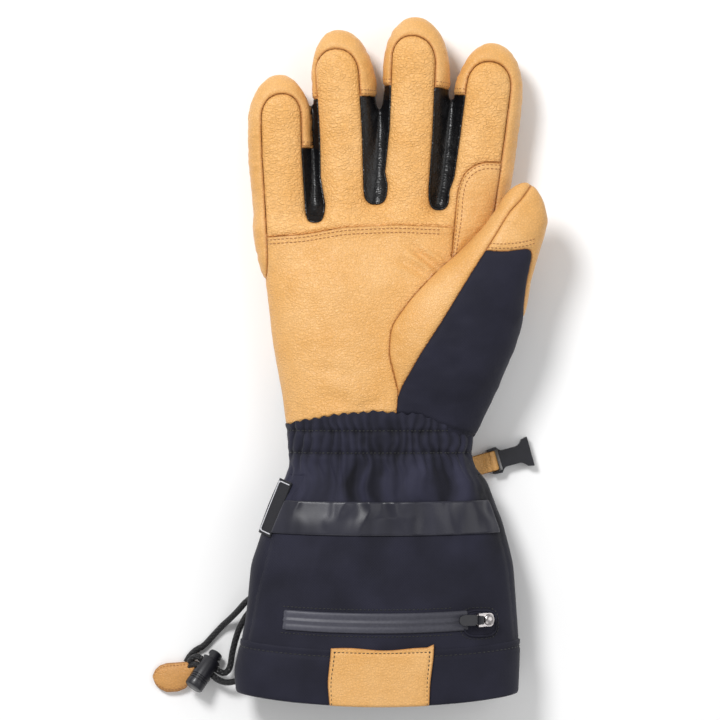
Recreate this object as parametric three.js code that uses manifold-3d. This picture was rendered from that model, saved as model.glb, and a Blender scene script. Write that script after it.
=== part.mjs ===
// A padded winter glove for the right hand, with a gathered wrist and a long gauntlet cuff, lying on its back.
// +X is the thumb's side, +Y runs from the hem to the fingertips, and +Z rises through the palm from the surface below.
// The origin is the middle of the glove's footprint, without the drawcord and what hangs on it. Sizes are in millimetres.
// Lengths in the tables are shares of the sizes that they follow, so the tables hold when a size changes.
import * as THREE from "three";
import { mergeVertices } from "three/addons/utils/BufferGeometryUtils.js";
import Module from "manifold-3d";

const wasm = await Module();
wasm.setup();

// Driving sizes of the hand and the cuff
const PALM_LENGTH = 117; // from the narrowest line of the wrist to the knuckles
const PALM_WIDTH = 125;
const PALM_THICKNESS = 38;
const KNUCKLE_THICKNESS = 30;
const WRIST_WIDTH = 91;
const WRIST_THICKNESS = 40;
const CUFF_LENGTH = 123; // from the narrowest line of the wrist to the end of the hem
const HEM_WIDTH = 141.5;
const HEM_THICKNESS = 48;
const HEM_DEPTH = 27.5;
const HEM_DROOP = 5; // how far the hem's middle reaches past its corners
const HAND_WALL = 4; // shell, padding, heating layer and liner, as one wall
const CUFF_WALL = 2.6;
const HEM_WALL = 3.4; // the hem is turned up over the drawcord
const SEAM_GAP = 0.3;
const FLATTENED = 2.4; // how much of the round underside the surface below takes away
const SQUARENESS = 2.4; // 2 is an ellipse, and more is nearer to a box
const PAD = 400; // longer than the glove, for cutting blocks

// The fingers, from the little finger to the index. root is a share of the palm's width from its middle, lean is in
// degrees towards the thumb, bow is the sideways curve, and cap is how far the leather tip reaches down the sides.
// front_left and front_right are the edges of the front leather, as shares of half the finger's width.
const FINGERS = [
  { name: "little", root: -0.382, length: 73, width: 30.5, thickness: 27, lean: -1.9, bow: -1.5, cap: 37, front_left: 0.59, front_right: 0.78 },
  { name: "ring", root: -0.136, length: 95.5, width: 31, thickness: 28, lean: -2.4, bow: 2, cap: 34, front_left: 0.9, front_right: 0.54 },
  { name: "middle", root: 0.092, length: 102, width: 32.5, thickness: 28.5, lean: 3.5, bow: 2.8, cap: 35, front_left: 0.8, front_right: 0.6 },
  { name: "index", root: 0.367, length: 89.5, width: 33.5, thickness: 28, lean: 7.5, bow: 0.6, cap: 28, front_left: 0.75, front_right: 0.63 },
];
const FINGER_CURL = 5; // how far the fingertips lift from the surface below
const FINGER_OVERLAP = 16; // how far a finger runs back into the palm
const ROOT_TAPER = 0.78; // of the finger's width, where it ends inside the palm
const ARCH_DEPTH = 9.5; // from the fingertip to the top of the front leather's arch

// The thumb leans across the front of the palm.
const THUMB = { across: 0.184, up: 0.186, length: 127, width: 61, thickness: 41, lean: 25.5, base: 20.8, rise: 15.5 };
const THUMB_CAP = 39; // how far the leather tip reaches down the thumb

// Sections of the hand, along from the wrist to the knuckles. spread goes from the wrist's width to the palm's, and
// shift is a share of the palm's width.
const PALM_ROWS = [
  { along: 0, spread: 0, shift: 0, thickness: WRIST_THICKNESS },
  { along: 0.24, spread: 0.206, shift: 0, thickness: WRIST_THICKNESS * 0.4 + PALM_THICKNESS * 0.6 },
  { along: 0.48, spread: 0.47, shift: -0.004, thickness: PALM_THICKNESS },
  { along: 0.72, spread: 0.706, shift: 0, thickness: PALM_THICKNESS * 0.8 + KNUCKLE_THICKNESS * 0.2 },
  { along: 0.94, spread: 0.94, shift: 0, thickness: KNUCKLE_THICKNESS },
  { along: 1, spread: 1, shift: 0, thickness: KNUCKLE_THICKNESS },
];
// Sections of the cuff, along from the wrist to the hem. spread goes from the wrist's width to the hem's, shift is a
// share of the hem's width, and swell goes from the wrist's thickness to the hem's.
const CUFF_ROWS = [
  { along: 0, spread: 0, shift: 0, swell: 0 },
  { along: 0.057, spread: 0.03, shift: 0.009, swell: 0.04 },
  { along: 0.1, spread: 0.18, shift: 0.022, swell: 0.12 },
  { along: 0.146, spread: 0.297, shift: 0.018, swell: 0.24 },
  { along: 0.28, spread: 0.554, shift: 0.014, swell: 0.5 },
  { along: 0.455, spread: 0.792, shift: 0.007, swell: 0.74 },
  { along: 0.683, spread: 0.881, shift: 0.005, swell: 0.9 },
  { along: 0.797, spread: 0.95, shift: 0, swell: 0.96 },
  { along: 0.911, spread: 1, shift: -0.012, swell: 1 },
  { along: 1, spread: 0.97, shift: -0.01, swell: 1 },
];
// A fingertip's outline. back is measured from the tip in shares of half the finger's width.
const TIP_ROWS = [
  { back: 0.05, wide: 0.28, thick: 0.3 },
  { back: 0.28, wide: 0.6, thick: 0.66 },
  { back: 0.65, wide: 0.83, thick: 0.86 },
  { back: 1.2, wide: 0.95, thick: 0.97 },
  { back: 2, wide: 1, thick: 1 },
];
// Sections of the thumb, along from its root to its tip. shift is a share of half its width.
const THUMB_ROWS = [
  { along: -0.17, wide: 0.5, thick: 0.62, shift: 0.36 },
  { along: 0.02, wide: 0.7, thick: 0.83, shift: 0.2 },
  { along: 0.12, wide: 0.85, thick: 0.95, shift: 0.04 },
  { along: 0.25, wide: 0.97, thick: 1, shift: -0.07 },
  { along: 0.394, wide: 0.95, thick: 0.93, shift: -0.08 },
  { along: 0.512, wide: 0.82, thick: 0.86, shift: -0.04 },
  { along: 0.63, wide: 0.636, thick: 0.78, shift: -0.016 },
  { along: 0.748, wide: 0.472, thick: 0.67, shift: 0 },
  { along: 0.866, wide: 0.36, thick: 0.55, shift: 0.03 },
  { along: 0.95, wide: 0.235, thick: 0.39, shift: 0.06 },
  { along: 0.99, wide: 0.09, thick: 0.15, shift: 0.05 },
];

// Facets round each form
const FINGER_SIDES = 12;
const THUMB_SIDES = 16;
const HAND_SIDES = 24;
const CUFF_SIDES = 32;
const LINER_SIDES = 16;
const LINER_FINGER_SIDES = 8;

const clamp01 = (t) => Math.min(1, Math.max(0, t));
const radians = THREE.MathUtils.degToRad;

// The value of a column between a table's rows.
function lookup(rows, column, at) {
  const next = Math.max(1, rows.findIndex((row) => row.along >= at));
  const [a, b] = at > rows.at(-1).along ? [rows.at(-2), rows.at(-1)] : [rows[next - 1], rows[next]];
  return THREE.MathUtils.lerp(a[column], b[column], clamp01((at - a.along) / (b.along - a.along)));
}

// Half width, sideways shift and thickness of the hand or the cuff at a distance from the wrist's narrowest line.
function bodySection(y) {
  const wristHalf = WRIST_WIDTH / 2;
  if (y >= 0) {
    const along = y / PALM_LENGTH;
    return {
      half: THREE.MathUtils.lerp(wristHalf, PALM_WIDTH / 2, lookup(PALM_ROWS, "spread", along)),
      shift: lookup(PALM_ROWS, "shift", along) * PALM_WIDTH,
      thickness: lookup(PALM_ROWS, "thickness", along),
    };
  }
  const along = -y / CUFF_LENGTH;
  return {
    half: THREE.MathUtils.lerp(wristHalf, HEM_WIDTH / 2, lookup(CUFF_ROWS, "spread", along)),
    shift: lookup(CUFF_ROWS, "shift", along) * HEM_WIDTH,
    thickness: THREE.MathUtils.lerp(WRIST_THICKNESS, HEM_THICKNESS, lookup(CUFF_ROWS, "swell", along)),
  };
}

function superellipse(angle) {
  const power = 2 / SQUARENESS;
  const [c, s] = [Math.cos(angle), Math.sin(angle)];
  return [Math.sign(c) * Math.abs(c) ** power, Math.sign(s) * Math.abs(s) ** power];
}

// The height of the body's upper surface at a point, lifted outwards by some distance.
function surfaceHeight(x, y, lift = 0) {
  const section = bodySection(y);
  const share = Math.min(1, Math.abs(x - section.shift) / (section.half + lift));
  const rise = (section.thickness + FLATTENED) / 2 + lift;
  return (section.thickness - FLATTENED) / 2 + rise * (1 - share ** SQUARENESS) ** (1 / SQUARENESS);
}

// The hem and the lines across the cuff bend down in the middle, more so towards the hem.
function droop(x, y) {
  const share = (2 * x) / HEM_WIDTH;
  return HEM_DROOP * share * share * clamp01(-y / CUFF_LENGTH);
}

// One ring of the body at y, moved inwards by inset. gather is the depth of the folds drawn in by elastic.
function bodyRing(y, inset, sides, gather = 0, folds = 0) {
  const section = bodySection(y);
  const half = section.half - inset;
  const rise = (section.thickness + FLATTENED) / 2 - inset;
  const middle = (section.thickness - FLATTENED) / 2;
  return Array.from({ length: sides }, (_, i) => {
    const angle = (2 * Math.PI * i) / sides;
    const [across, up] = superellipse(angle);
    const fold = gather * Math.cos(folds * angle);
    const x = section.shift + across * half + Math.cos(angle) * fold;
    const z = middle + up * rise + Math.sin(angle) * fold;
    return new THREE.Vector3(x, y + droop(x, y), Math.max(z, inset, 0));
  });
}

// A closed surface through rings of as many points each. A ring of one point is a pole.
function loft(rings) {
  const sides = Math.max(...rings.map((ring) => ring.length));
  const whole = rings.filter((ring) => ring.length === sides);
  const middleOf = (ring) => ring.reduce((sum, p) => sum.add(p), new THREE.Vector3()).divideScalar(ring.length);
  const ends = [rings[0], rings.at(-1)].map((ring) => (ring.length === 1 ? ring[0] : middleOf(ring)));
  const points = [...whole.flat(), ...ends];
  const index = [];
  for (let r = 0; r + 1 < whole.length; r++) {
    for (let i = 0; i < sides; i++) {
      const a = r * sides + i;
      const b = r * sides + ((i + 1) % sides);
      index.push(a, b, b + sides, a, b + sides, a + sides);
    }
  }
  const last = (whole.length - 1) * sides;
  for (let i = 0; i < sides; i++) {
    const j = (i + 1) % sides;
    index.push(points.length - 2, j, i, points.length - 1, last + i, last + j);
  }
  let volume = 0;
  for (let i = 0; i < index.length; i += 3) {
    const [a, b, c] = index.slice(i, i + 3).map((n) => points[n]);
    volume += a.dot(b.clone().cross(c));
  }
  if (volume < 0) index.reverse();
  return new THREE.BufferGeometry().setFromPoints(points).setIndex(index);
}

function solid(geometry) {
  const plain = geometry.index ? geometry.toNonIndexed() : geometry.clone();
  plain.deleteAttribute("normal");
  plain.deleteAttribute("uv");
  const merged = mergeVertices(plain, 1e-4);
  const triangles = [];
  for (let i = 0; i < merged.index.count; i += 3) {
    const [a, b, c] = merged.index.array.slice(i, i + 3);
    if (a !== b && b !== c && c !== a) triangles.push(a, b, c);
  }
  return new wasm.Manifold(
    new wasm.Mesh({
      numProp: 3,
      vertProperties: merged.attributes.position.array,
      triVerts: new Uint32Array(triangles),
    }),
  );
}

const glove = new THREE.Group();

// The largest body of a solid, without slivers that a cut leaves beside it.
const largest = (made) => made.decompose().sort((a, b) => b.volume() - a.volume())[0];

// Puts a finished solid into the glove as a mesh of its own.
function addPart(name, made, material, parent = glove) {
  const mesh = largest(made).getMesh();
  const geometry = new THREE.BufferGeometry()
    .setAttribute("position", new THREE.BufferAttribute(new Float32Array(mesh.vertProperties), 3))
    .setIndex(new THREE.BufferAttribute(new Uint32Array(mesh.triVerts), 1));
  const part = new THREE.Mesh(geometry, material);
  part.name = name;
  parent.add(part);
  return part;
}

// An upright block over an outline in plan. low and high are heights, or functions of x and y on a sloping plane.
function block(outline, low = -PAD, high = PAD) {
  const shape = outline instanceof THREE.Shape ? outline : new THREE.Shape(outline.map(([x, y]) => new THREE.Vector2(x, y)));
  const geometry = new THREE.ExtrudeGeometry(shape, { depth: 1, bevelEnabled: false, curveSegments: 4 });
  const position = geometry.attributes.position;
  for (let i = 0; i < position.count; i++) {
    const end = position.getZ(i) > 0.5 ? high : low;
    position.setZ(i, typeof end === "function" ? end(position.getX(i), position.getY(i)) : end);
  }
  return solid(geometry);
}

// Materials
const leather = new THREE.MeshStandardMaterial({ color: 0xdfa45c, roughness: 0.55 });
const sideLeather = new THREE.MeshStandardMaterial({ color: 0x0c0c0e, roughness: 0.35 });
const softshell = new THREE.MeshStandardMaterial({ color: 0x2a2a34, roughness: 0.85 });
const film = new THREE.MeshStandardMaterial({ color: 0x43434c, roughness: 0.45 });
const moulded = new THREE.MeshStandardMaterial({ color: 0x1c1d24, roughness: 0.4 });
const zinc = new THREE.MeshStandardMaterial({ color: 0xb9b4b4, roughness: 0.25, metalness: 1 });
const braid = new THREE.MeshStandardMaterial({ color: 0x101014, roughness: 0.8 });
const labelCloth = new THREE.MeshStandardMaterial({ color: 0x15151a, roughness: 0.9 });

// A point on a finger, in plan: along is in millimetres from its root, and side in millimetres from its middle line.
function fingerPoint(finger, along, side = 0) {
  const lean = radians(finger.lean);
  const share = along / finger.length;
  const offset = side + finger.bow * 4 * share * (1 - share);
  return [
    finger.root * PALM_WIDTH + Math.sin(lean) * along + Math.cos(lean) * offset,
    PALM_LENGTH + Math.cos(lean) * along - Math.sin(lean) * offset,
  ];
}

function ringAt([x, y], z, lean, half, rise, sides, floor) {
  return Array.from({ length: sides }, (_, i) => {
    const [across, up] = superellipse((2 * Math.PI * i) / sides);
    const height = Math.max(z + up * rise, floor);
    return new THREE.Vector3(x + Math.cos(lean) * across * half, y - Math.sin(lean) * across * half, height);
  });
}

// A finger's outer form, or its hollow when inset is the wall.
function fingerForm(finger, inset = 0) {
  const half = finger.width / 2 - inset;
  const rise = finger.thickness / 2 - inset;
  const length = finger.length - inset;
  const sides = inset > 0 ? LINER_FINGER_SIDES : FINGER_SIDES;
  const tipRows = inset > 0 ? TIP_ROWS.filter((row, i) => i % 2) : TIP_ROWS;
  const lift = (along) => (finger.thickness - FLATTENED) / 2 + FINGER_CURL * clamp01(along / finger.length) ** 2;
  const ring = (along, wide, thick) =>
    ringAt(fingerPoint(finger, along), lift(along), radians(finger.lean), half * wide, rise * thick, sides, inset);
  const root = [ring(-FINGER_OVERLAP - Math.abs(inset), ROOT_TAPER, 1), ring(0, 0.98, 1), ring(length * 0.4, 1, 1)];
  const tip = tipRows.toReversed().map((row) => ring(length - row.back * half, row.wide, row.thick));
  const [x, y] = fingerPoint(finger, length);
  return solid(loft([...root, ...tip, [new THREE.Vector3(x, y, lift(length))]]));
}

// The thumb's middle line, in plan, and its height.
const thumbRoot = [THUMB.across * PALM_WIDTH, THUMB.up * PALM_LENGTH];
function thumbPoint(along, side = 0) {
  const lean = radians(THUMB.lean);
  return [
    thumbRoot[0] + Math.sin(lean) * along + Math.cos(lean) * side,
    thumbRoot[1] + Math.cos(lean) * along - Math.sin(lean) * side,
  ];
}
const thumbHeight = (along) => THUMB.base + (THUMB.rise * along) / THUMB.length;

function thumbForm(inset = 0) {
  const half = THUMB.width / 2;
  const length = THUMB.length - inset;
  const ring = (row) =>
    ringAt(
      thumbPoint(row.along * length, row.shift * half),
      thumbHeight(row.along * length),
      radians(THUMB.lean),
      Math.max(row.wide * half - inset, row.wide),
      Math.max((row.thick * THUMB.thickness) / 2 - inset, row.thick),
      inset > 0 ? LINER_SIDES : THUMB_SIDES,
      inset,
    );
  const rows = inset > 0 ? THUMB_ROWS.filter((row, i) => i % 2) : THUMB_ROWS;
  const end = thumbPoint(length, THUMB_ROWS.at(-1).shift * half);
  return solid(loft([...rows.map(ring), [new THREE.Vector3(...end, thumbHeight(length))]]));
}

// The body of the hand, rounded off behind the knuckles, and the cuff
const BODY_STEPS = [-0.12, 0, 0.24, 0.48, 0.72, 1];
const LINER_STEPS = [-0.2, -0.1, 0, 0.3, 0.94];
const KNUCKLE_ROUND = 5;
function handForm(inset = 0, steps = BODY_STEPS, sides = HAND_SIDES) {
  const rings = steps.map((along) => bodyRing(along * PALM_LENGTH, inset, sides));
  const last = PALM_LENGTH * steps.at(-1);
  const round = bodyRing(last, inset + KNUCKLE_ROUND * 0.5, sides).map((p) => p.setY(last + KNUCKLE_ROUND - inset));
  return solid(loft([...rings, round]));
}
function cuffForm(inset, sides = CUFF_SIDES, past = 0) {
  const rings = CUFF_ROWS.map((row) => bodyRing(-row.along * CUFF_LENGTH, inset, sides));
  const top = bodyRing(PALM_LENGTH * 0.24, inset, sides);
  const end = past ? [bodyRing(-CUFF_LENGTH, inset, sides).map((p) => p.setY(p.y - past))] : [];
  return solid(loft([top, ...rings, ...end]));
}

// Seams seen in plan
const mid = KNUCKLE_THICKNESS / 2; // where the front and the back meet on the sides
const WRIST_SEAM = [
  { across: -1.2, up: 0.1 },
  { across: -0.98, up: 0.13 },
  { across: -0.5, up: 0.168 },
  { across: -0.1, up: 0.182 },
  { across: 0.4, up: 0.17 },
  { across: 1.2, up: 0.06 },
];
const BACK_SEAM = -0.078; // of the cuff's length: the hand's leather ends here on the side and the back
const backSeam = BACK_SEAM * CUFF_LENGTH;
const wristSeam = (shift) => WRIST_SEAM.map((p) => [(p.across * WRIST_WIDTH) / 2, p.up * PALM_LENGTH + shift]);

// The cuff's front, as seen in plan: left and right are its edges, as shares of half the width.
const CUFF_FRONT_ROWS = [
  { along: -0.16, left: 1.15, right: 1.15 },
  { along: 0.079, left: 1.15, right: 1.15 },
  { along: 0.08, left: 0.83, right: 0.96 },
  { along: 0.18, left: 0.867, right: 0.95 },
  { along: 0.3, left: 0.91, right: 0.955 },
  { along: 0.46, left: 0.9, right: 0.96 },
  { along: 0.6, left: 0.945, right: 0.97 },
  { along: 0.79, left: 0.96, right: 0.98 },
];
function cuffFrontOutline(grow) {
  const edge = (row, side) => {
    const y = -row.along * CUFF_LENGTH;
    const section = bodySection(y);
    const x = section.shift + (side < 0 ? -row.left : row.right) * section.half + side * grow;
    return [x, y + droop(x, y)];
  };
  const left = CUFF_FRONT_ROWS.map((row) => edge(row, -1));
  const right = CUFF_FRONT_ROWS.map((row) => edge(row, 1)).toReversed();
  const bottom = [[right[0][0], right[0][1] - PAD], [left.at(-1)[0], left.at(-1)[1] - PAD]];
  return [...left, ...bottom.toReversed(), ...right];
}

// The front leather's outline: up and down each finger with an arch at its tip, and round the crotches between them.
const CROTCH_ROUND = 4.4;
const crotches = [
  { up: -0.5, widen: 1 },
  { up: 8.5, widen: 1.25 },
  { up: 6, widen: 1.05 },
]; // up is from the knuckle line to the bottom of the black wall's end
const CROTCH_DEPTH = 1; // below the knuckle line, on the back
const LEFT_EDGE = [
  { up: 0.92, side: 0.93 },
  { up: 0.82, side: 0.955 },
  { up: 0.66, side: 1.03 },
  { up: 0.1, side: 1.06 },
  { up: -0.3, side: 1.1 },
];
function frontOutline(grow) {
  const path = new THREE.Shape();
  const leftAt = ({ up, side }) => {
    const section = bodySection(up * PALM_LENGTH);
    return [section.shift - side * section.half - grow, up * PALM_LENGTH];
  };
  LEFT_EDGE.toReversed().forEach((row, i) => (i ? path.lineTo(...leftAt(row)) : path.moveTo(...leftAt(row))));
  FINGERS.forEach((finger, i) => {
    const half = finger.width / 2;
    const left = -finger.front_left * half - grow;
    const right = finger.front_right * half + grow;
    const top = finger.length - ARCH_DEPTH + grow;
    const radius = (right - left) / 2;
    const spring = top - radius * 1.15;
    for (const share of [0.23, 0.45]) path.lineTo(...fingerPoint(finger, share * finger.length, left));
    path.lineTo(...fingerPoint(finger, spring, left));
    path.bezierCurveTo(
      ...fingerPoint(finger, spring + radius * 0.7, left),
      ...fingerPoint(finger, top, left + radius * 0.4),
      ...fingerPoint(finger, top, left + radius),
    );
    path.bezierCurveTo(
      ...fingerPoint(finger, top, right - radius * 0.4),
      ...fingerPoint(finger, spring + radius * 0.7, right),
      ...fingerPoint(finger, spring, right),
    );
    path.lineTo(...fingerPoint(finger, 0.45 * finger.length, right));
    if (i === FINGERS.length - 1) return;
    const next = FINGERS[i + 1];
    const { up, widen } = crotches[i];
    const radiusDown = CROTCH_ROUND * widen - grow;
    const [leftEdge] = fingerPoint(finger, up, finger.width / 2);
    const [rightEdge] = fingerPoint(next, up, -next.width / 2);
    const x = (leftEdge + rightEdge) / 2;
    const y = PALM_LENGTH + up + CROTCH_ROUND * widen;
    path.lineTo(x - radiusDown, y + CROTCH_ROUND);
    path.bezierCurveTo(x - radiusDown, y - radiusDown * 0.9, x - radiusDown * 0.6, y - radiusDown, x, y - radiusDown);
    path.bezierCurveTo(x + radiusDown * 0.6, y - radiusDown, x + radiusDown, y - radiusDown * 0.9, x + radiusDown, y + CROTCH_ROUND);
  });
  const index = FINGERS.at(-1);
  path.lineTo(...fingerPoint(index, 0, index.front_right * (index.width / 2) + grow));
  path.lineTo(...fingerPoint(index, -index.length * 0.35, index.front_right * (index.width / 2) + grow));
  path.lineTo(PALM_WIDTH, PALM_LENGTH * 0.6);
  path.lineTo(PALM_WIDTH, -PALM_LENGTH * 0.3);
  return path;
}

// The back's outline follows the fingers and ends square at their caps.
const BACK_EDGE = 0.74;
function backOutline(grow) {
  const points = [];
  const section = bodySection(0);
  points.push([section.shift - section.half * 0.8 - grow, -PAD]);
  points.push([section.shift - section.half * 0.8 - grow, 0]);
  FINGERS.forEach((finger, i) => {
    const side = BACK_EDGE * (finger.width / 2) + grow;
    const top = finger.length - finger.cap + grow;
    if (i) points.push(fingerPoint(finger, CROTCH_DEPTH + grow, -side));
    points.push(fingerPoint(finger, top * 0.5, -side), fingerPoint(finger, top, -side));
    points.push(fingerPoint(finger, top, side), fingerPoint(finger, top * 0.5, side));
    if (i < FINGERS.length - 1) points.push(fingerPoint(finger, CROTCH_DEPTH + grow, side));
  });
  const index = FINGERS.at(-1);
  points.push(fingerPoint(index, -index.length * 0.35, BACK_EDGE * (index.width / 2) + grow));
  points.push([PALM_WIDTH, PALM_LENGTH * 0.6], [PALM_WIDTH, -PAD]);
  return points;
}

// The hollow hand, before it is cut into its panels
const gap = SEAM_GAP / 2;
const fingersOuter = FINGERS.map((finger) => fingerForm(finger));
const hollow = FINGERS.map((finger) => fingerForm(finger, HAND_WALL)).reduce(
  (sum, form) => sum.add(form),
  handForm(HAND_WALL, LINER_STEPS, LINER_SIDES),
);
const thumbOuter = thumbForm();
const thumbHollow = thumbForm(HAND_WALL);
const bodyOuter = fingersOuter.reduce((sum, form) => sum.add(form), handForm());
const cuffBelow = (shift) => block([[-PAD, -PAD], [PAD, -PAD], [PAD, backSeam + shift], [-PAD, backSeam + shift]]);
const underWristSeam = (shift) => block([[-PAD, -PAD], [PAD, -PAD], [PAD, wristSeam(shift).at(-1)[1]], ...wristSeam(shift).toReversed(), [-PAD, wristSeam(shift)[0][1]]]);
const cuffMid = WRIST_THICKNESS / 2; // where the cuff's front and back meet on the sides
const cuffFrontBlock = (grow) => block(cuffFrontOutline(grow), cuffMid - grow).intersect(underWristSeam(grow));
const handShell = bodyOuter
  .subtract(hollow)
  .subtract(thumbHollow)
  .subtract(cuffBelow(gap))
  .subtract(cuffFrontBlock(gap));

// Front leather: the fingers' fronts, the lower palm that laps over them, and the patch beside the thumb
const CROSS_SEAM = [
  { across: -1.2, up: 0.915 },
  { across: -0.93, up: 0.927 },
  { across: -0.62, up: 0.937 },
  { across: -0.28, up: 0.968 },
  { across: 0.13, up: 0.977 },
  { across: 0.55, up: 0.968 },
  { across: 1.2, up: 0.975 },
];
const PATCH_EDGE = [
  { along: 0.34, side: 1.4 },
  { along: 0.34, side: 0.62 },
  { along: 0.325, side: 0.05 },
  { along: 0.28, side: -0.32 },
  { along: 0.22, side: -0.5 },
  { along: 0.12, side: -0.56 },
  { along: -0.05, side: -0.5 },
  { along: -0.3, side: -0.45 },
  { along: -0.3, side: 1.4 },
];
const crossSeam = (shift) => CROSS_SEAM.map((p) => [(p.across * PALM_WIDTH) / 2, p.up * PALM_LENGTH + shift]);
const belowCrossSeam = (shift) => block([[-PAD, -PAD], [PAD, -PAD], ...crossSeam(shift).toReversed()]);
function patchBlock(grow) {
  const index = FINGERS.at(-1);
  const edge = PATCH_EDGE.map(({ along, side }) => [along * index.length, (side * index.width) / 2]);
  const [middleAlong, middleSide] = [0, index.width * 0.3];
  const grown = edge.map(([along, side]) => {
    const away = Math.hypot(along - middleAlong, side - middleSide);
    const stretch = 1 + grow / away;
    return fingerPoint(index, middleAlong + (along - middleAlong) * stretch, middleSide + (side - middleSide) * stretch);
  });
  return block(grown);
}
const front = handShell.intersect(block(frontOutline(-gap), mid + gap));
addPart("index_patch", front.intersect(patchBlock(-gap)), leather);
const frontLeather = front.subtract(patchBlock(gap));
addPart("palm_lower", frontLeather.intersect(belowCrossSeam(-gap)), leather);
addPart("finger_fronts", frontLeather.subtract(belowCrossSeam(gap)), leather);

// Back of the hand, in one piece up to the caps
const back = handShell.intersect(block(backOutline(-gap), -PAD, mid - gap));
addPart("hand_back", back, softshell);

// Caps over the fingertips, the outer ones with the strip down the hand's side, and the black walls between fingers
const rim = handShell.subtract(block(frontOutline(gap), mid - gap)).subtract(block(backOutline(gap), -PAD, mid + gap));
const capBlock = (finger, shift) => {
  const from = finger.length - finger.cap + shift;
  const side = finger.width * 0.75;
  return block([
    fingerPoint(finger, from, -side),
    fingerPoint(finger, from, side),
    fingerPoint(finger, finger.length * 1.2, side),
    fingerPoint(finger, finger.length * 1.2, -side),
  ]);
};
const [little, ring, middle, index] = FINGERS;
const outerSide = (finger, side, shift) => {
  const [x, y] = fingerPoint(finger, finger.length, 0);
  const far = side * PAD;
  return block([
    [x + shift, y],
    fingerPoint(finger, finger.length * 0.5, shift),
    fingerPoint(finger, 0, shift),
    [shift, 0],
    [shift, -PAD],
    [far, -PAD],
    [far, y],
  ]);
};
const littleSide = (shift) => outerSide(little, -1, shift);
const indexSide = (shift) => outerSide(index, 1, shift);
FINGERS.forEach((finger, i) => {
  const tip = capBlock(finger, gap).intersect(fingersOuter[i]);
  const region = { little: tip.add(littleSide(0)), index: tip.add(indexSide(0)) }[finger.name] ?? tip;
  addPart("cap_" + finger.name, rim.intersect(region), leather);
});
const allCaps = FINGERS.map((finger) => capBlock(finger, -gap).intersect(fingerForm(finger, -gap))).reduce((sum, made) => sum.add(made));
const walls = rim.subtract(allCaps).subtract(littleSide(gap)).subtract(indexSide(-gap));
[[little, ring], [ring, middle], [middle, index]].forEach(([left, right]) => {
  const between = block([
    fingerPoint(left, -FINGER_OVERLAP),
    fingerPoint(left, left.length * 0.5),
    fingerPoint(left, left.length),
    fingerPoint(right, right.length),
    fingerPoint(right, right.length * 0.5),
    fingerPoint(right, -FINGER_OVERLAP),
  ]);
  addPart(`wall_${left.name}_${right.name}`, walls.intersect(between), sideLeather);
});

// Thumb: leather on the palm's side, a leather tip, and softshell outside
const thumbShell = thumbOuter
  .subtract(thumbHollow)
  .subtract(hollow)
  .subtract(handForm(-SEAM_GAP))
  .subtract(fingerForm(index, -SEAM_GAP))
  .subtract(cuffBelow(gap))
  .subtract(underWristSeam(gap));
// side is a share of half the thumb's width at that place.
const THUMB_SEAM = [
  { along: 1.1, side: 0 },
  { along: 0.99, side: 0 },
  { along: 0.92, side: -0.3 },
  { along: 0.84, side: -0.5 },
  { along: 0.7, side: -0.42 },
  { along: 0.46, side: -0.34 },
  { along: 0.2, side: -0.46 },
  { along: 0.07, side: -0.75 },
  { along: -0.05, side: -0.8 },
  { along: -0.25, side: -0.6 },
];
function thumbSeamPoint({ along, side }) {
  const half = THUMB.width / 2;
  const wide = lookup(THUMB_ROWS, "wide", Math.min(along, 0.99));
  const shift = lookup(THUMB_ROWS, "shift", Math.min(along, 0.99));
  return [along * THUMB.length, (shift + side * wide) * half];
}
const thumbPlan = ([along, side]) => thumbPoint(along, side);
const seamLine = (shift) => THUMB_SEAM.map(thumbSeamPoint).map(([along, side]) => thumbPlan([along, side + shift]));
const slope = THUMB.rise / THUMB.length;
const thumbMid = (shift) => (x, y) => {
  const lean = radians(THUMB.lean);
  const along = (x - thumbRoot[0]) * Math.sin(lean) + (y - thumbRoot[1]) * Math.cos(lean);
  return THUMB.base + slope * along + shift;
};
const leftOfSeam = (shift) => block([...seamLine(shift), thumbPlan([-THUMB.length, -PAD]), thumbPlan([THUMB.length * 1.5, -PAD])], thumbMid(-0.01));
const UNDER_SEAM = 0.35; // the far seam lies under the thumb, as a share of half its width
const underLeft = (shift) => {
  const side = (UNDER_SEAM * THUMB.width) / 2 + shift;
  const corners = [[-THUMB.length, -PAD], [-THUMB.length, side], [THUMB.length * 0.45, side], [THUMB.length * 1.05, side * 0.2], [THUMB.length * 1.5, -PAD]];
  return block(corners.map(thumbPlan), -PAD, thumbMid(0));
};
const thumbFrontBlock = (shift) => leftOfSeam(shift).add(underLeft(shift));
const thumbCapFrom = THUMB.length - THUMB_CAP;
const CAP_EDGE_SLANT = 0.16; // the cap's edge climbs towards the outer side, as a share of the thumb's width
const STRIP_SIDE = 0.86; // the leather strip on the outer side starts here, as a share of half the width
const STRIP_LENGTH = 0.27; // of the thumb's length
function capOfThumb(shift) {
  const half = THUMB.width / 2;
  const slant = CAP_EDGE_SLANT * half;
  const edge = [[thumbCapFrom - slant * 0.4 + shift, -half], [thumbCapFrom + slant + shift, half * 1.2]];
  const tip = block([...edge, [THUMB.length * 1.5, half * 1.2], [THUMB.length * 1.5, -half]].map(thumbPlan));
  const along = thumbCapFrom - STRIP_LENGTH * THUMB.length + shift;
  const strip = [0, 0.5, 1].map((t) => {
    const at = THREE.MathUtils.lerp(along, thumbCapFrom + slant, t);
    const wide = lookup(THUMB_ROWS, "wide", at / THUMB.length);
    const middleLine = lookup(THUMB_ROWS, "shift", at / THUMB.length) * half;
    return [at, middleLine + STRIP_SIDE * wide * half + shift];
  });
  const outside = [...strip, [thumbCapFrom + slant + THUMB.length * 0.05, half * 1.5], [along, half * 1.5]];
  return tip.add(block(outside.map(thumbPlan)));
}
addPart("thumb_front", thumbShell.intersect(thumbFrontBlock(-gap)), leather);
const thumbRest = thumbShell.subtract(thumbFrontBlock(gap));
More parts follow.
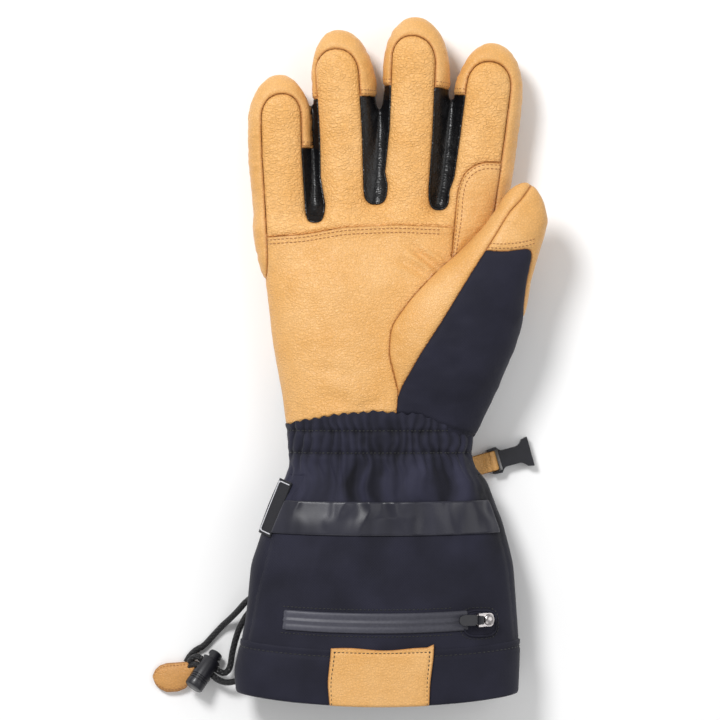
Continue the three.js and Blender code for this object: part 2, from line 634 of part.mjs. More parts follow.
addPart("thumb_cap", thumbRest.intersect(capOfThumb(gap)), leather);
addPart("thumb_back", thumbRest.subtract(capOfThumb(-gap)), softshell);

// Cuff: the front is gathered by elastic at the wrist, and the back wraps round the sides
const GATHER_FOLDS = 18;
const GATHER_DEPTH = 1.1;
const GATHER_ROWS = [
  { up: 0.24, depth: 0.25 },
  { up: 0.13, depth: 0.4 },
  { up: 0.06, depth: 1 },
  { up: -0.03, depth: 1 },
  { up: -0.1, depth: 0.5 },
];
const gatherRings = GATHER_ROWS.map((row) =>
  bodyRing(row.up * PALM_LENGTH, 0.2, GATHER_FOLDS * 4, GATHER_DEPTH * row.depth, GATHER_FOLDS),
);
const gatherEnd = GATHER_ROWS.at(-1).up * PALM_LENGTH;
const belowGather = block([[-PAD, -PAD], [PAD, -PAD], [PAD, gatherEnd + 0.5], [-PAD, gatherEnd + 0.5]]);
const cuffOuter = solid(loft(gatherRings)).add(cuffForm(0).intersect(belowGather));
const hemStart = -(CUFF_LENGTH - HEM_DEPTH);
const aboveHem = (shift) => {
  const half = HEM_WIDTH;
  const arc = [-1, -0.5, 0, 0.5, 1].map((t) => [(t * HEM_WIDTH) / 2, hemStart + droop((t * HEM_WIDTH) / 2, hemStart) + shift]);
  return block([...arc, [half, arc.at(-1)[1]], [half, PAD], [-half, PAD], [-half, arc[0][1]]]);
};
const cuffShell = cuffOuter.subtract(cuffForm(CUFF_WALL, LINER_SIDES, 10)).intersect(aboveHem(gap));
addPart("cuff_front", cuffShell.intersect(cuffFrontBlock(-gap)), softshell);
addPart("cuff_back", cuffShell.intersect(cuffBelow(-gap)).subtract(cuffFrontBlock(gap)), softshell);

// Hem: turned up over the drawcord, a little proud of the cuff
const HEM_PROUD = 0.5;
const hemOuter = cuffForm(-HEM_PROUD);
const hem = hemOuter.subtract(cuffForm(HEM_WALL - HEM_PROUD, LINER_SIDES, 10)).subtract(aboveHem(-gap));
addPart("hem_band", hem, softshell);

// A thin layer that follows the cuff's front, over an outline in plan.
function layer(outline, from, to) {
  return cuffForm(-to).subtract(cuffForm(-from)).intersect(block(outline, HEM_THICKNESS / 2));
}
// A band across the cuff's front between two distances from the wrist, with the front's own edges.
function acrossOutline(start, end, left, right, steps = 8) {
  const line = (along) =>
    Array.from({ length: steps + 1 }, (_, i) => {
      const y = -along * CUFF_LENGTH;
      const section = bodySection(y);
      const x = section.shift + THREE.MathUtils.lerp(-left, right, i / steps) * section.half;
      return [x, y + droop(x, y)];
    });
  return [...line(start), ...line(end).toReversed()];
}
const FILM_THICKNESS = 0.6;
const BAND = { start: 0.182, end: 0.318, left: 0.86, right: 0.94 };
addPart("reflective_band", layer(acrossOutline(BAND.start, BAND.end, BAND.left, BAND.right), SEAM_GAP, SEAM_GAP + FILM_THICKNESS), film);

// Pocket zip: a coil under a welded tape across the front
const TAPE_WIDTH = 10;
const TAPE_THICKNESS = 0.9;
const TAPE = { middle: 0.667, left: 0.7, right: 0.86 };
const tapeTop = SEAM_GAP + TAPE_THICKNESS;
const tapeReach = TAPE_WIDTH / 2 / CUFF_LENGTH;
addPart(
  "zip_tape",
  layer(acrossOutline(TAPE.middle - tapeReach, TAPE.middle + tapeReach, TAPE.left, TAPE.right), SEAM_GAP, tapeTop),
  film,
);

// Leather patch over the hem's middle
const PATCH = { left: 0.33, right: 0.37, thickness: 1.2 };
const patchTop = HEM_PROUD + SEAM_GAP + PATCH.thickness;
const patchStart = (CUFF_LENGTH - HEM_DEPTH) / CUFF_LENGTH - 0.004;
addPart("hem_patch", layer(acrossOutline(patchStart, 0.999, PATCH.left, PATCH.right), HEM_PROUD + SEAM_GAP, patchTop), leather);

// Zip slider with its pin, and the pull that swings on it
const SLIDER = { length: 9, width: 6.6, height: 2.2, place: 0.735, ear: 1, ear_height: 4.6 };
const PIN_RADIUS = 0.6;
const PIN_CLEARANCE = 0.3;
const PULL = { length: 11, width: 5.4, thickness: 1.6 };
const sliderY = -TAPE.middle * CUFF_LENGTH;
const sliderX = bodySection(sliderY).shift + SLIDER.place * bodySection(sliderY).half;
const REACH = SLIDER.length / 2;
const heightAt = (x) => surfaceHeight(x, sliderY, tapeTop);
const sliderTilt = Math.atan2(heightAt(sliderX - PULL.length) - heightAt(sliderX + REACH), PULL.length + REACH);
const sliderGroup = new THREE.Group();
sliderGroup.position.set(sliderX, sliderY + droop(sliderX, sliderY), heightAt(sliderX) + SEAM_GAP + 0.25);
sliderGroup.rotation.y = sliderTilt;
glove.add(sliderGroup);

function roundedBox(length, width, height, radius) {
  const shape = new THREE.Shape();
  const [x, y] = [length / 2, width / 2];
  shape.moveTo(-x + radius, -y);
  shape.lineTo(x - radius, -y);
  shape.absarc(x - radius, -y + radius, radius, -Math.PI / 2, 0);
  shape.absarc(x - radius, y - radius, radius, 0, Math.PI / 2);
  shape.absarc(-x + radius, y - radius, radius, Math.PI / 2, Math.PI);
  shape.absarc(-x + radius, -y + radius, radius, Math.PI, 1.5 * Math.PI);
  return new THREE.ExtrudeGeometry(shape, { depth: height, bevelEnabled: false, curveSegments: 4 });
}
const pinX = -REACH + PIN_RADIUS + PIN_CLEARANCE + 0.9;
const pinZ = SLIDER.height + PIN_CLEARANCE + PIN_RADIUS + 0.7;
const sliderBody = solid(roundedBox(SLIDER.length, SLIDER.width, SLIDER.height, 2));
const domeRadius = 2.9;
const dome = solid(new THREE.SphereGeometry(domeRadius, 14, 8).scale(1, 1, 0.55).translate(REACH - domeRadius + 0.4, 0, SLIDER.height));
const ears = [-1, 1].map((side) => {
  const ear = new THREE.BoxGeometry(2.4, SLIDER.ear, pinZ + PIN_RADIUS);
  return solid(ear.translate(pinX, side * (SLIDER.width / 2 - SLIDER.ear / 2), (pinZ + PIN_RADIUS) / 2));
});
const pin = solid(new THREE.CylinderGeometry(PIN_RADIUS, PIN_RADIUS, SLIDER.width - SLIDER.ear, 12).translate(pinX, 0, pinZ));
addPart("zip_slider", [dome, ...ears, pin].reduce((sum, made) => sum.add(made), sliderBody), zinc, sliderGroup);

const pullWidth = Math.min(PULL.width, SLIDER.width - 2 * SLIDER.ear - 2 * PIN_CLEARANCE);
const eyeRadius = PIN_RADIUS + PIN_CLEARANCE + 0.7;
const eye = solid(new THREE.CylinderGeometry(eyeRadius, eyeRadius, pullWidth, 14).translate(pinX, 0, pinZ));
const eyeHole = solid(new THREE.CylinderGeometry(PIN_RADIUS + PIN_CLEARANCE, PIN_RADIUS + PIN_CLEARANCE, SLIDER.width * 2, 14).translate(pinX, 0, pinZ));
const pullOutline = new THREE.Shape();
pullOutline.moveTo(pinX - 0.4, pullWidth / 2);
pullOutline.lineTo(pinX - 2.4, pullWidth / 2);
pullOutline.lineTo(pinX - 2.8, PULL.width / 2);
pullOutline.lineTo(pinX - PULL.length * 0.75, PULL.width / 2);
pullOutline.quadraticCurveTo(pinX - PULL.length, PULL.width * 0.42, pinX - PULL.length, 0);
pullOutline.quadraticCurveTo(pinX - PULL.length, -PULL.width * 0.42, pinX - PULL.length * 0.75, -PULL.width / 2);
pullOutline.lineTo(pinX - 2.8, -PULL.width / 2);
pullOutline.lineTo(pinX - 2.4, -pullWidth / 2);
pullOutline.lineTo(pinX - 0.4, -pullWidth / 2);
const pullPlate = new THREE.ExtrudeGeometry(pullOutline, { depth: PULL.thickness, bevelEnabled: false, curveSegments: 5 });
const PULL_DROP = 1.3; // the plate hangs this far below its eye's middle, down to the slider's deck
const plate = solid(pullPlate.translate(0, 0, pinZ - PULL_DROP - PULL.thickness / 2 + 0.5));
addPart("zip_pull", eye.add(plate).subtract(eyeHole), moulded, sliderGroup);

// Woven label, folded and sewn into the cuff's left seam
const LABEL = { length: 29, width: 9, thickness: 0.9, along: 0.222, start: 0.9 };
const labelY = -LABEL.along * CUFF_LENGTH;
const labelSection = bodySection(labelY);
const labelX = labelSection.shift - LABEL.start * labelSection.half;
const labelStep = 1;
const labelFall = (surfaceHeight(labelX, labelY) - surfaceHeight(labelX - labelStep, labelY)) / labelStep;
const sideAt = (along) => bodySection(-along * CUFF_LENGTH).shift - LABEL.start * bodySection(-along * CUFF_LENGTH).half;
const labelReach = LABEL.length / 2 / CUFF_LENGTH;
const labelTurn = Math.atan2(sideAt(LABEL.along - labelReach) - sideAt(LABEL.along + labelReach), LABEL.length);
const labelGroup = new THREE.Group();
labelGroup.position.set(labelX, labelY, surfaceHeight(labelX, labelY));
labelGroup.rotation.z = -labelTurn;
glove.add(labelGroup);
const labelLean = new THREE.Group();
labelLean.rotation.y = -Math.atan(labelFall);
labelGroup.add(labelLean);
const LABEL_LIFT = 1;
const labelBox = new THREE.BoxGeometry(LABEL.width, LABEL.length, LABEL.thickness);
addPart("side_label", solid(labelBox.translate(-LABEL.width / 2, 0, LABEL_LIFT + LABEL.thickness / 2)), labelCloth, labelLean);

// Clip on a leather loop at the wrist's thumb side, for hanging two gloves together
const STRAP = { width: 10, thickness: 1.2, reach: 22, turn: 15.5, rise: 4 };
const CLIP = { length: 15.5, mouth: 15, waist: 8.6, shoulder: 13.4, thickness: 5.4, frame: 5.6, side: 1.7 };
const BAR_RADIUS = 1;
const BAR_CLEARANCE = 0.35;
const strapY = -0.02 * CUFF_LENGTH - 4.4;
const strapGroup = new THREE.Group();
const strapSection = bodySection(strapY);
const barX = strapSection.shift + strapSection.half + 9.4; // the bar lies clear of the wrist's widest line
strapGroup.position.set(barX, strapY + 3.2, 0);
strapGroup.rotation.z = radians(STRAP.turn);
glove.add(strapGroup);
const barZ = CLIP.thickness / 2;
const loopOuter = BAR_RADIUS + BAR_CLEARANCE + STRAP.thickness;
const strapSide = new THREE.Shape(); // seen from the side: x runs away from the glove, y up
strapSide.moveTo(-STRAP.reach, barZ + STRAP.rise + STRAP.thickness);
strapSide.quadraticCurveTo(-STRAP.reach * 0.5, barZ + STRAP.thickness, -loopOuter, barZ + STRAP.thickness);
strapSide.quadraticCurveTo(-loopOuter * 0.6, barZ + loopOuter, 0, barZ + loopOuter);
strapSide.absarc(0, barZ, loopOuter, Math.PI / 2, -Math.PI / 2, true);
strapSide.quadraticCurveTo(-loopOuter * 0.6, barZ - loopOuter, -loopOuter, barZ - STRAP.thickness);
strapSide.quadraticCurveTo(-STRAP.reach * 0.5, barZ - STRAP.thickness, -STRAP.reach, barZ + STRAP.rise - STRAP.thickness);
const strapBand = new THREE.ExtrudeGeometry(strapSide, { depth: STRAP.width, bevelEnabled: false, curveSegments: 6 });
strapBand.rotateX(Math.PI / 2).translate(0, STRAP.width / 2, 0);
const strapEye = BAR_RADIUS + BAR_CLEARANCE;
const strapHole = solid(new THREE.CylinderGeometry(strapEye, strapEye, STRAP.width * 2, 12).translate(0, 0, barZ));

// The clip's outline in plan: a frame for the strap, a waist, and a flared mouth
function clipShape() {
  const shape = new THREE.Shape();
  const half = [CLIP.shoulder / 2, CLIP.waist / 2, CLIP.mouth / 2];
  const start = -BAR_RADIUS - 0.6;
  const frameEnd = start + CLIP.frame;
  const end = start + CLIP.frame + CLIP.length;
  const side = (sign) => [
    [start, sign * half[0] * 0.94],
    [frameEnd - 1, sign * half[0]],
    [frameEnd + 1.6, sign * half[1]],
    [end - 7, sign * half[1]],
    [end - 3.2, sign * half[2] * 0.92],
    [end - 0.6, sign * half[2]],
    [end, sign * half[2]],
  ];
  const [right, left] = [side(-1), side(1)];
  shape.moveTo(...right[0]);
  shape.lineTo(...right[1]);
  shape.quadraticCurveTo(frameEnd + 0.4, -half[1], ...right[2]);
  shape.lineTo(...right[3]);
  shape.quadraticCurveTo(end - 5, -half[1], ...right[4]);
  shape.lineTo(...right[5]);
  shape.lineTo(...right[6]);
  shape.lineTo(...left[6]);
  shape.lineTo(...left[5]);
  shape.lineTo(...left[4]);
  shape.quadraticCurveTo(end - 5, half[1], ...left[3]);
  shape.lineTo(...left[2]);
  shape.quadraticCurveTo(frameEnd + 0.4, half[1], ...left[1]);
  shape.lineTo(...left[0]);
  return { shape, start, frameEnd, end };
}
const clip = clipShape();
const clipBody = solid(new THREE.ExtrudeGeometry(clip.shape, { depth: CLIP.thickness, bevelEnabled: false, curveSegments: 6 }));
const windowWidth = STRAP.width + 0.8;
const clipWindow = solid(
  new THREE.BoxGeometry(CLIP.frame - 0.5, windowWidth, PAD).translate(clip.start + 0.05 + (CLIP.frame - 0.5) / 2, 0, 0),
);
const clipOpen = solid(new THREE.BoxGeometry(2, windowWidth, PAD).translate(clip.start, 0, 0));
const barRod = solid(new THREE.CylinderGeometry(BAR_RADIUS, BAR_RADIUS, CLIP.shoulder - 1, 12).translate(0, 0, barZ));
const MOUTH_WALL = 1.2;
const mouthSlot = solid(
  new THREE.BoxGeometry(CLIP.length * 0.72, CLIP.waist - 2 * MOUTH_WALL, CLIP.thickness - 2 * MOUTH_WALL)
    .translate(clip.end - CLIP.length * 0.36 + 0.5, 0, barZ),
);
const mouthFlare = solid(new THREE.BoxGeometry(4, CLIP.mouth - 2 * MOUTH_WALL, CLIP.thickness - 2 * MOUTH_WALL).translate(clip.end - 1.4, 0, barZ));
const clipCuts = [clipOpen, mouthSlot, mouthFlare];
const clipMade = clipCuts.reduce((made, cut) => made.subtract(cut), clipBody.subtract(clipWindow).add(barRod));
addPart("clip_buckle", clipMade, moulded, strapGroup);
strapGroup.updateMatrixWorld(true);
const gatherGrown = GATHER_ROWS.map((row) => bodyRing(row.up * PALM_LENGTH, -SEAM_GAP - GATHER_DEPTH * row.depth, CUFF_SIDES));
const cuffGrown = cuffForm(-SEAM_GAP * 1.5).add(solid(loft(gatherGrown)));
const intoStrap = strapGroup.matrixWorld.clone().invert();
const inStrapFrame = (made) => {
  const mesh = made.getMesh();
  const geometry = new THREE.BufferGeometry()
    .setAttribute("position", new THREE.BufferAttribute(new Float32Array(mesh.vertProperties), 3))
    .setIndex(new THREE.BufferAttribute(new Uint32Array(mesh.triVerts), 1));
  return solid(geometry.applyMatrix4(intoStrap));
};
const strapMade = solid(strapBand).subtract(strapHole).subtract(inStrapFrame(cuffGrown.add(thumbOuter)));
addPart("wrist_strap", strapMade, leather, strapGroup);

// Drawcord: two strands from the cuff's side to the leather tab, one of them through the cord lock. The points are
// measured from the corner of the hem's left side, which the cord follows if the hem moves.
const CORD_DIAMETER = 3.2;
const hemLeft = bodySection(hemStart).shift - bodySection(hemStart).half;
const fromHem = ([x, y, z]) => new THREE.Vector3(hemLeft + x, hemStart + y, z);
const CORD_OUTER = [
  [5, 24, 13.4], [1.6, 21.4, 12.6], [-2.4, 16.8, 9.6], [-6.6, 12.4, 5.6], [-10.4, 8.8, 2.8], [-15.7, 3.1, 1.65],
  [-19.9, -1.4, 1.65], [-23.8, -3.6, 1.65], [-26.8, -6.4, 1.7], [-28.8, -9.8, 2.2],
];
const CORD_INNER = [
  [7, 17.4, 14.4], [3.4, 16.2, 13.4], [0.8, 12.6, 11.6], [-1.8, 7.6, 9.4], [-3.8, 1.6, 7.8], [-5.4, -5, 6.6],
  [-6.6, -12, 6], [-9.2, -14.9, 5.99], [-12.63, -13.63, 5.99], [-17.13, -10.47, 5.99], [-21.6, -7.3, 5.99],
  [-23.2, -6.6, 5.8], [-25.2, -7.1, 5.2], [-27.2, -9.6, 4],
];
const CORD_LOWER = [
  [2, -17, 9], [-1, -17.6, 8.6], [-4.4, -18.9, 8.2], [-8.5, -19.4, 7.8], [-12.4, -18.2, 7.2], [-14.63, -16.5, 7.2],
  [-19.13, -13.34, 7.2], [-23, -10.65, 7.1], [-25, -10.6, 6], [-27, -12, 4.4],
];
function tube(points, radius, steps, sides) {
  const curve = new THREE.CatmullRomCurve3(points.map(fromHem), false, "centripetal");
  const section = new THREE.Shape();
  section.moveTo(radius, 0);
  for (let i = 1; i < sides; i++) {
    section.lineTo(radius * Math.cos((2 * Math.PI * i) / sides), radius * Math.sin((2 * Math.PI * i) / sides));
  }
  return solid(new THREE.ExtrudeGeometry(section, { extrudePath: curve, steps, curveSegments: 1 }));
}

// Cord lock: a barrel with a spring button, lying across the strands with its closed end lifted
const LOCK = { radius: 4.9, length: 17.5, wall: 1.1, button_radius: 3.5, button_out: 4.5, travel: 2.5, tilt: 19, turn: 55 };
const BUTTON_CLEARANCE = 0.3;
const lockGroup = new THREE.Group();
lockGroup.position.copy(fromHem([-20.3, -15, 7.9]));
lockGroup.rotation.set(0, radians(LOCK.tilt), radians(LOCK.turn), "ZYX");
glove.add(lockGroup);
const slotPlace = 4; // from the barrel's middle towards its open end
const slotLength = 2 * CORD_DIAMETER + 2;
const slotHeight = CORD_DIAMETER + 1.4;
const lyingRod = (radius, from, to) =>
  new THREE.CylinderGeometry(radius, radius, to - from, 18).rotateZ(-Math.PI / 2).translate((from + to) / 2, 0, 0);
const slotBlock = (from, to) => solid(new THREE.BoxGeometry(to - from, PAD, slotHeight).translate((from + to) / 2, 0, 0));
const closedEnd = -LOCK.length / 2 + LOCK.wall * 1.6;
const barrel = solid(lyingRod(LOCK.radius, -LOCK.length / 2, LOCK.length / 2));
const bore = solid(lyingRod(LOCK.radius - LOCK.wall, closedEnd, LOCK.length));
const strandSlot = slotBlock(slotPlace - slotLength / 2, slotPlace + slotLength / 2);
addPart("cord_lock_barrel", barrel.subtract(bore).subtract(strandSlot), moulded, lockGroup);
const buttonRadius = LOCK.radius - LOCK.wall - BUTTON_CLEARANCE;
const button = solid(lyingRod(buttonRadius, closedEnd + LOCK.travel + BUTTON_CLEARANCE, LOCK.length / 2 + LOCK.button_out));
const buttonSlot = slotBlock(slotPlace - slotLength / 2, slotPlace + slotLength / 2 + LOCK.travel);
addPart("cord_lock_button", button.subtract(buttonSlot), moulded, lockGroup);

// Leather tab folded over the strands' ends: a puffed pebble that lies on the surface, pinched at the lock
const TAB_ROWS = [
  { x: -22.9, top: -8.9, bottom: -11, thickness: 6 },
  { x: -24.4, top: -8.8, bottom: -14, thickness: 7.4 },
  { x: -26.5, top: -9.3, bottom: -20, thickness: 6.4 },
  { x: -29, top: -9.8, bottom: -23.2, thickness: 5.2 },
  { x: -33, top: -10, bottom: -24.6, thickness: 4.6 },
  { x: -38.8, top: -10.5, bottom: -25, thickness: 4.6 },
  { x: -42, top: -11.6, bottom: -22.9, thickness: 4.2 },
  { x: -44.5, top: -14, bottom: -20.3, thickness: 3.4 },
  { x: -45.8, top: -16.4, bottom: -17.8, thickness: 1.5 },
];
const tabForm = (grow) => {
  const sides = 14;
  const rings = TAB_ROWS.map(({ x, top, bottom, thickness }, row) =>
    Array.from({ length: sides }, (_, i) => {
      const [across, up] = superellipse((2 * Math.PI * i) / sides);
      const y = (top + bottom) / 2 + across * ((top - bottom) / 2 + grow);
      const z = thickness / 2 + up * (thickness / 2 + grow);
      const end = row === 0 ? grow : row === TAB_ROWS.length - 1 ? -grow : 0;
      return fromHem([x + end, y, Math.max(0, z)]);
    }),
  );
  return solid(loft(rings));
};
lockGroup.updateMatrixWorld(true);
const lockSpace = solid(lyingRod(LOCK.radius + SEAM_GAP, -LOCK.length / 2 - SEAM_GAP, LOCK.length / 2).applyMatrix4(lockGroup.matrixWorld));
addPart("cord_tab", tabForm(0).subtract(lockSpace), leather);
const cordEnds = cuffGrown.add(cuffForm(-HEM_PROUD - SEAM_GAP)).add(tabForm(SEAM_GAP));
const strand = (points, grow = 0) => tube(points, CORD_DIAMETER / 2 + grow, points.length + 5, 6);
const innerMade = strand(CORD_INNER).subtract(strand(CORD_LOWER, SEAM_GAP));
addPart("drawcord_lower", strand(CORD_LOWER).subtract(cordEnds), braid);
addPart("drawcord_inner", innerMade.subtract(cordEnds), braid);
addPart("drawcord_outer", strand(CORD_OUTER).subtract(strand(CORD_INNER, SEAM_GAP)).subtract(cordEnds), braid);

// The origin goes to the middle of the footprint, without the drawcord's pieces.
const cordPieces = ["drawcord_outer", "drawcord_inner", "drawcord_lower", "cord_lock_barrel", "cord_lock_button", "cord_tab"];
glove.updateMatrixWorld(true);
const footprint = new THREE.Box3();
glove.traverse((o) => {
  if (o.isMesh && !cordPieces.includes(o.name)) footprint.expandByObject(o, true);
});
const centre = footprint.getCenter(new THREE.Vector3());
glove.position.set(-centre.x, -centre.y, -footprint.min.z);

export default glove;
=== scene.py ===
"""A padded winter glove for the right hand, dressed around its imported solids.

Blender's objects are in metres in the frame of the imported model. The glove's own tables are in millimetres
from the narrowest line of the wrist, with x towards the thumb, y towards the fingertips and z up.
"""
import math

import bmesh
import bpy
import numpy as np
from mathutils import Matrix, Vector
from mathutils.bvhtree import BVHTree
from mathutils.kdtree import KDTree


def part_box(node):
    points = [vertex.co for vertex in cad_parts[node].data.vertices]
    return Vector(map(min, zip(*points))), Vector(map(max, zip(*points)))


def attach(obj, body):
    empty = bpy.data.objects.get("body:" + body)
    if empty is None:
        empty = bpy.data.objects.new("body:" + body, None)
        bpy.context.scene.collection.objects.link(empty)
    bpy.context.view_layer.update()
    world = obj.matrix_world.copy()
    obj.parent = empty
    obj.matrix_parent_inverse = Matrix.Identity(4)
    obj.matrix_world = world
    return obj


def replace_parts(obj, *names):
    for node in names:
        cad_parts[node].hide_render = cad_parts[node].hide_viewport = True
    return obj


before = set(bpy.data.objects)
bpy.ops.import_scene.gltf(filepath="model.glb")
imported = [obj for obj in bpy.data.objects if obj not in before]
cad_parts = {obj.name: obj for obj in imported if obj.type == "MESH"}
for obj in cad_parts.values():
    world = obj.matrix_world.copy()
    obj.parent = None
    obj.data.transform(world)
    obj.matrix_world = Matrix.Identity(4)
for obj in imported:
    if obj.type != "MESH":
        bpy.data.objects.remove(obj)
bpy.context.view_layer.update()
scene = bpy.context.scene

# The table, light and camera.
# The glove lies on its back on a pale table and is seen from straight above, fingers up, in broad soft
# light. Nothing here belongs to the glove.
MM = 0.001
VIEW_WIDTH = 0.36
VIEW_CENTRE = (-0.01556, -0.0004)
EYE_HEIGHT = 1.62
HALF_THICKNESS = 0.02
SENSOR = 36

camera_data = bpy.data.cameras.new("camera")
camera_data.sensor_width = SENSOR
camera_data.lens = SENSOR * (EYE_HEIGHT - HALF_THICKNESS) / VIEW_WIDTH
camera = bpy.data.objects.new("camera", camera_data)
camera.location = (*VIEW_CENTRE, EYE_HEIGHT)
scene.collection.objects.link(camera)
scene.camera = camera


def new_finish(name, **values):
    """A material with its shader's own sockets set, and its tree and shader for what varies over the
    surface."""
    made = bpy.data.materials.new(name)
    made.use_nodes = True
    shader = made.node_tree.nodes["Principled BSDF"]
    for socket, value in values.items():
        shader.inputs[socket.replace("_", " ")].default_value = value
    return made, made.node_tree, shader


def colour(red, green, blue):
    """A screen colour, 0 to 255, as the linear one that a shader takes."""
    shares = [c / 255 for c in (red, green, blue)]
    return (*[s / 12.92 if s < 0.04045 else ((s + 0.055) / 1.055) ** 2.4 for s in shares], 1)


def add(tree, kind, links=None, **settings):
    """A node with its settings, default inputs and links. A link's key is an input's name or number."""
    node = tree.nodes.new(kind)
    for key, value in settings.items():
        setattr(node, key, value)
    for key, value in (links or {}).items():
        if isinstance(value, bpy.types.NodeSocket):
            tree.links.new(value, node.inputs[key])
        else:
            node.inputs[key].default_value = value
    return node


def noise(tree, place, scale, detail):
    """Clouds from 0 to 1 over the surface."""
    return add(tree, "ShaderNodeTexNoise", {"Vector": place, "Scale": scale, "Detail": detail}).outputs["Fac"]


def two_tones(tree, share, low, high, start=0.0, end=1.0):
    """The colour between two tones at a share of the way."""
    ramp = add(tree, "ShaderNodeValToRGB", {"Fac": share})
    first, last = ramp.color_ramp.elements
    first.position, first.color = start, low
    last.position, last.color = end, high
    return ramp.outputs["Color"]


table_finish, tree, shader = new_finish("pale_table", Roughness=0.7)
place = add(tree, "ShaderNodeTexCoord").outputs["Object"]
clouding = noise(tree, place, 3.0, 3.0)
tones = two_tones(tree, clouding, (0.95, 0.95, 0.95, 1), (0.97, 0.97, 0.97, 1))
tree.links.new(tones, shader.inputs["Base Color"])
TABLE_REACH = 3.0
table_mesh = bpy.data.meshes.new("table")
corners = [(x * TABLE_REACH, y * TABLE_REACH, 0) for x, y in ((-1, -1), (1, -1), (1, 1), (-1, 1))]
table_mesh.from_pydata(corners, [], [(0, 1, 2, 3)])
table_mesh.materials.append(table_finish)
table = bpy.data.objects.new("table", table_mesh)
scene.collection.objects.link(table)

LIGHTS = [
    {"name": "key_light", "place": (-0.55, 0.75, 1.15), "size": 0.45, "power": 16},
    {"name": "fill_light", "place": (0.9, 0.1, 1.0), "size": 1.1, "power": 4.2},
    {"name": "front_light", "place": (-0.2, -1.0, 0.9), "size": 1.0, "power": 2},
]
for row in LIGHTS:
    lamp_data = bpy.data.lights.new(row["name"], "AREA")
    lamp_data.shape = "DISK"
    lamp_data.size = row["size"]
    lamp_data.energy = row["power"]
    lamp = bpy.data.objects.new(row["name"], lamp_data)
    lamp.location = row["place"]
    lamp.rotation_euler = (-Vector(row["place"])).to_track_quat("-Z", "Y").to_euler()
    scene.collection.objects.link(lamp)
world = bpy.data.worlds.new("studio")
world.use_nodes = True
world.node_tree.nodes["Background"].inputs["Color"].default_value = (1, 1, 1, 1)
world.node_tree.nodes["Background"].inputs["Strength"].default_value = 0.4
scene.world = world
scene.view_settings.view_transform = "Standard"

# The drawcord of the hem.
# Three runs of black braided elastic leave the left side of the cuff, lie out on the table and end in a
# leather tab. Two of them are held by the cord lock.
CORD_DIAMETER = 3.2
WRIST_TO_HEM_END = 123
HEM_SIDE = 69.99  # from the wrist's middle line to the hem's thumb side
HEM_CORNER = (-69.04, -95.5)
hem_low, hem_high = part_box("hem_band")
WRIST = np.array([hem_high.x / MM - HEM_SIDE - 0.5, hem_low.y / MM + WRIST_TO_HEM_END, 0])
CORD_ROUTES = {
    "outer": [
        (5, 24, 13.4), (1.6, 21.4, 12.6), (-2.4, 16.8, 9.6), (-6.6, 12.4, 5.6), (-10.4, 8.8, 2.8),
        (-15.7, 3.1, 1.65),
        (-19.9, -1.4, 1.65), (-23.8, -3.6, 1.65), (-26.8, -6.4, 1.7), (-28.8, -9.8, 2.2),
    ],
    "inner": [
        (7, 17.4, 14.4), (3.4, 16.2, 13.4), (0.8, 12.6, 11.6), (-1.8, 7.6, 9.4), (-3.8, 1.6, 7.8),
        (-5.4, -5, 6.6),
        (-6.6, -12, 6), (-9.2, -14.9, 5.99), (-12.63, -13.63, 5.99), (-17.13, -10.47, 5.99),
        (-21.6, -7.3, 5.99),
        (-23.2, -6.6, 5.8), (-25.2, -7.1, 5.2), (-27.2, -9.6, 4),
    ],
    "lower": [
        (2, -17, 9), (-1, -17.6, 8.6), (-4.4, -18.9, 8.2), (-8.5, -19.4, 7.8), (-12.4, -18.2, 7.2),
        (-14.63, -16.5, 7.2),
        (-19.13, -13.34, 7.2), (-23, -10.65, 7.1), (-25, -10.6, 6), (-27, -12, 4.4),
    ],
}


def from_hem(point):
    return np.array([HEM_CORNER[0] + point[0], HEM_CORNER[1] + point[1], point[2]])


def smooth_line(points, spacing):
    """A curve through the points, at equal steps."""
    p = np.array(points, float)
    p = np.vstack([2 * p[0] - p[1], p, 2 * p[-1] - p[-2]])
    made = []
    for a, b, c, d in zip(p, p[1:], p[2:], p[3:]):
        for t in np.linspace(0, 1, 24, endpoint=False):
            made.append(
                0.5
                * (2 * b + (c - a) * t + (2 * a - 5 * b + 4 * c - d) * t**2 + (3 * b - a - 3 * c + d) * t**3)
            )
    made = np.array([*made, p[-2]])
    reach = np.concatenate([[0], np.cumsum(np.linalg.norm(np.diff(made, axis=0), axis=1))])
    steps = np.linspace(0, reach[-1], max(2, round(reach[-1] / spacing) + 1))
    return np.stack([np.interp(steps, reach, made[:, i]) for i in range(3)], 1)


def tube(line, radius, sides=14):
    """Rings along a line, with the way round and the length along as a map for the braid."""
    points, faces, places = [], [], []
    across = np.array([0.0, 0.0, 1.0])
    reach = 0.0
    for i, centre in enumerate(line):
        ahead = line[min(i + 1, len(line) - 1)] - line[max(i - 1, 0)]
        ahead /= np.linalg.norm(ahead)
        across = across - ahead * across.dot(ahead)
        across /= np.linalg.norm(across)
        other = np.cross(ahead, across)
        reach += np.linalg.norm(centre - line[i - 1]) if i else 0
        for k in range(sides):
            turn = 2 * math.pi * k / sides
            points.append(centre + radius * (math.cos(turn) * across + math.sin(turn) * other))
    for i in range(len(line) - 1):
        for k in range(sides):
            a, b = i * sides + k, i * sides + (k + 1) % sides
            faces.append((a, b, b + sides, a + sides))
            places.append(
                [(k / sides, i), ((k + 1) / sides, i), ((k + 1) / sides, i + 1), (k / sides, i + 1)]
            )
    spacing = reach / (len(line) - 1)
    places = [[(u, v * spacing) for u, v in face] for face in places]
    faces.append(tuple(range(sides))[::-1])
    faces.append(tuple((len(line) - 1) * sides + k for k in range(sides)))
    places += [[(0, 0)] * sides] * 2
    return np.array(points), faces, places


